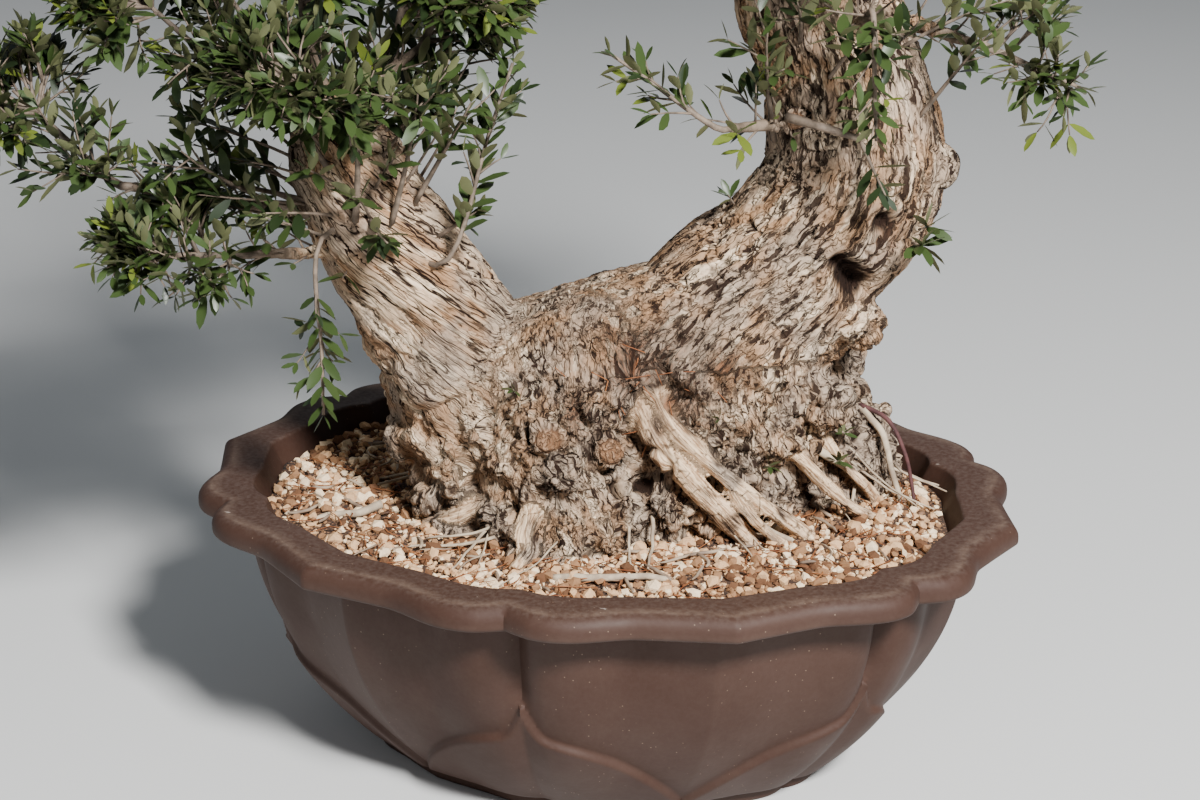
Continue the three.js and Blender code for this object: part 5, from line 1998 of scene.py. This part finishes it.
class BONSAI_OT_grit(bpy.types.Operator):
    """Strew the grains of the grit over the soil"""

    bl_idname = "bonsai.grit"
    bl_label = "Grit"

    def execute(self, context):
        settings = context.scene.bonsai_soil
        chance = np.random.default_rng(GRIT_SEED)
        count = settings.grains
        places = scattered(chance, count, 5)
        size = settings.grain_size / MM / 2 * np.exp(chance.normal(-0.16, 0.44, count))
        size = np.minimum(size, 8.5)
        places[:, 2] = soil_height(places, Noise(SOIL_SEED)) + size * chance.uniform(-0.1, 0.75, count)
        shapes, faces = ball(1)
        knocked = shapes[None] * chance.uniform(0.72, 1.25, (count, len(shapes), 1))
        knocked = knocked * (size[:, None] * chance.uniform(0.62, 1.2, (count, 3)))[:, None]
        turns = random_turns(chance, count)
        points = np.einsum("nij,nkj->nki", turns, knocked) + places[:, None]
        points[..., 2] = lerp(points[..., 2], places[:, None, 2], 0.12)
        all_faces = (faces + len(shapes) * np.arange(count)[:, None, None]).reshape(-1, 3)
        kinds = chance.choice(4, count, p=[0.3, 0.42, 0.2, 0.08])
        earthy = Noise(EARTH_SEED).layered(places / 80, 2) + chance.normal(0, 0.2, count) > 0.26
        kinds = np.where(earthy, chance.choice([1, 2, 3], count, p=[0.2, 0.45, 0.35]), kinds)
        grit = Gather()
        grit.add(points.reshape(-1, 3), all_faces, np.repeat(kinds, len(faces)))
        finishes = [
            grain_finish("grain_cream", settings.cream),
            grain_finish("grain_peach", settings.peach),
            grain_finish("grain_tan", settings.tan),
            grain_finish("grain_brown", tone(104, 72, 50)),
        ]
        settle(grit.piece("grit", finishes, smooth=False), "soil")
        return {"FINISHED"}


class BONSAI_OT_litter(bpy.types.Operator):
    """Strew pine needles, bark flakes and small sticks over the grit"""

    bl_idname = "bonsai.litter"
    bl_label = "Litter"

    STICKS = 60
    FLAKES = 420
    CAUGHT = 22

    def execute(self, context):
        settings = context.scene.bonsai_soil
        chance = np.random.default_rng(LITTER_SEED)
        noise = Noise(SOIL_SEED)
        litter = Gather()
        for place in scattered(chance, settings.needles, 30):
            length = chance.uniform(26, 66)
            self.lie(litter, chance, noise, place, length, 0.65, 3, 0 if chance.random() < 0.7 else 1)
        for place in scattered(chance, self.STICKS, 30):
            length = chance.uniform(16, 46)
            self.lie(litter, chance, noise, place, length, chance.uniform(1.0, 2.1), 6, 2)
        shapes, faces = ball(1)
        turns = random_turns(chance, self.FLAKES)
        for place, turn in zip(scattered(chance, self.FLAKES, 12), turns):
            flake = shapes * (chance.uniform(4, 8), chance.uniform(2.5, 5), 0.9)
            tilted = flake @ (0.25 * turn + 0.75 * np.array(self.spun(chance.uniform(0, math.pi)))).T
            height = soil_height(place[None], noise)[0] + chance.uniform(2.5, 5.5)
            litter.add(tilted + (place[0], place[1], height), faces, 3 if chance.random() < 0.7 else 1)
        self.hollow_needles(litter, chance)
        colours = {
            "needle_orange": (settings.needle, tone(156, 98, 54)),
            "needle_brown": (tone(118, 70, 38), tone(150, 92, 52)),
            "stick": (tone(120, 100, 84), tone(168, 148, 124)),
            "bark_flake": (tone(74, 50, 36), tone(128, 96, 72)),
        }
        finishes = [two_tone_finish(name, 0.7, *pair, 40, 2) for name, pair in colours.items()]
        settle(litter.piece("litter", finishes), "soil")
        return {"FINISHED"}

    def spun(self, angle):
        return [[math.cos(angle), -math.sin(angle), 0], [math.sin(angle), math.cos(angle), 0], [0, 0, 1]]

    def lie(self, litter, chance, noise, place, length, radius, sides, finish):
        """A thin thing lies bent on the grit, and stays inside the rim."""
        turn = chance.uniform(0, 2 * math.pi)
        share = np.linspace(-0.5, 0.5, 6)
        bend = chance.uniform(-0.22, 0.22)
        ahead = np.array([math.cos(turn), math.sin(turn), 0])
        aside = np.array([-ahead[1], ahead[0], 0])
        bow = length * bend * (share**2 * 4 - 1)
        line = place + ahead * length * share[:, None] + aside * bow[:, None]
        angle = np.arctan2(line[:, 1], line[:, 0])
        long, deep = inner_radius(angle)
        if np.any((line[:, 0] / (long - 3)) ** 2 + (line[:, 1] / (deep - 3)) ** 2 > 1):
            return
        line[:, 2] = soil_height(line, noise) + 4.5 + radius + chance.uniform(-1, 3)
        line[:, 2] += share * chance.uniform(-6, 6)
        litter.add(*tube(line, radius * np.array([0.7, 1, 1, 1, 0.9, 0.4]), sides), finish)

    def hollow_needles(self, litter, chance):
        """Needles caught in the hollow at the front of the base."""
        for _ in range(self.CAUGHT):
            place = np.array([chance.normal(40, 34), -98 + chance.normal(0, 3), chance.normal(424, 26)])
            turn = chance.uniform(0, 2 * math.pi)
            ahead = np.array([math.cos(turn), chance.uniform(-0.2, 0.2), 0.8 * math.sin(turn)])
            line = place + ahead * chance.uniform(10, 27) * np.linspace(-0.5, 0.5, 4)[:, None]
            litter.add(*tube(turned(line, TREE_TURN), 0.6, 3), int(chance.random() < 0.5))


class BONSAI_OT_stage(bpy.types.Operator):
    """Set a plain floor, soft lights and the camera"""

    bl_idname = "bonsai.stage"
    bl_label = "Stage"

    def execute(self, context):
        settings = context.scene.bonsai_stage
        deselect_all()
        bpy.ops.mesh.primitive_plane_add(size=30, location=(0, 0, 0))
        floor = context.object
        floor.name = "floor"
        finish = Finish("pale_floor", roughness=0.9, base_color=settings.floor)
        floor.data.materials.append(finish.material)
        self.light("key", (2.3, -2.6, 3.3), (0, 0, 0.5), 0.7, settings.key_power)
        self.light("fill", (-2.8, -1.6, 1.8), (0, 0, 0.5), 2.4, settings.fill_power)
        self.light("back", (-0.6, 3.0, 2.6), (0, 0, 0.7), 2.0, settings.fill_power)
        world = bpy.data.worlds.new("sky")
        world.use_nodes = True
        background = world.node_tree.nodes["Background"]
        background.inputs["Color"].default_value = SKY_COLOUR
        background.inputs["Strength"].default_value = SKY_STRENGTH
        context.scene.world = world
        camera = placed("camera", bpy.data.cameras.new("camera"))
        camera.data.lens = CAMERA_LENS
        camera.data.sensor_width = CAMERA_SENSOR
        camera.location = CAMERA_PLACE
        camera.rotation_euler = (CAMERA_TILT, 0, TREE_TURN)
        context.scene.camera = camera
        return {"FINISHED"}

    def light(self, name, place, target, size, power):
        lamp = bpy.data.lights.new(name, "AREA")
        lamp.size = size
        lamp.energy = power
        holder = placed(name, lamp)
        holder.location = place
        holder.rotation_euler = (Vector(target) - Vector(place)).to_track_quat("-Z", "Y").to_euler()


OPERATORS = (
    BONSAI_OT_pot,
    BONSAI_OT_soil,
    BONSAI_OT_grit,
    BONSAI_OT_litter,
    BONSAI_OT_wood,
    BONSAI_OT_fine_roots,
    BONSAI_OT_foliage,
    BONSAI_OT_stage,
)
SETTINGS = {
    "bonsai_wood": BonsaiWoodSettings,
    "bonsai_foliage": BonsaiFoliageSettings,
    "bonsai_pot": BonsaiPotSettings,
    "bonsai_soil": BonsaiSoilSettings,
    "bonsai_stage": BonsaiStageSettings,
}


class BONSAI_PT_panel(bpy.types.Panel):
    """Lists the pieces of the bonsai and what can be changed on them"""

    bl_idname = "BONSAI_PT_panel"
    bl_label = "Olive Bonsai"
    bl_space_type = "VIEW_3D"
    bl_region_type = "UI"
    bl_category = "Bonsai"

    def draw(self, context):
        for name in SETTINGS:
            box = self.layout.box()
            group = getattr(context.scene, name)
            for setting in group.bl_rna.properties:
                if not setting.is_readonly and setting.identifier != "name":
                    box.prop(group, setting.identifier)
        for operator in OPERATORS:
            self.layout.operator(operator.bl_idname)


CLASSES = (*SETTINGS.values(), *OPERATORS, BONSAI_PT_panel)


def register():
    for each in CLASSES:
        bpy.utils.register_class(each)
    for name, group in SETTINGS.items():
        setattr(bpy.types.Scene, name, PointerProperty(type=group))


def unregister():
    for name in SETTINGS:
        delattr(bpy.types.Scene, name)
    for each in reversed(CLASSES):
        bpy.utils.unregister_class(each)


def main():
    register()
    bpy.ops.bonsai.pot()
    bpy.ops.bonsai.soil()
    bpy.ops.bonsai.grit()
    bpy.ops.bonsai.litter()
    bpy.ops.bonsai.wood()
    bpy.ops.bonsai.fine_roots()
    bpy.ops.bonsai.foliage()
    bpy.ops.bonsai.stage()


if __name__ == "__main__":
    main()
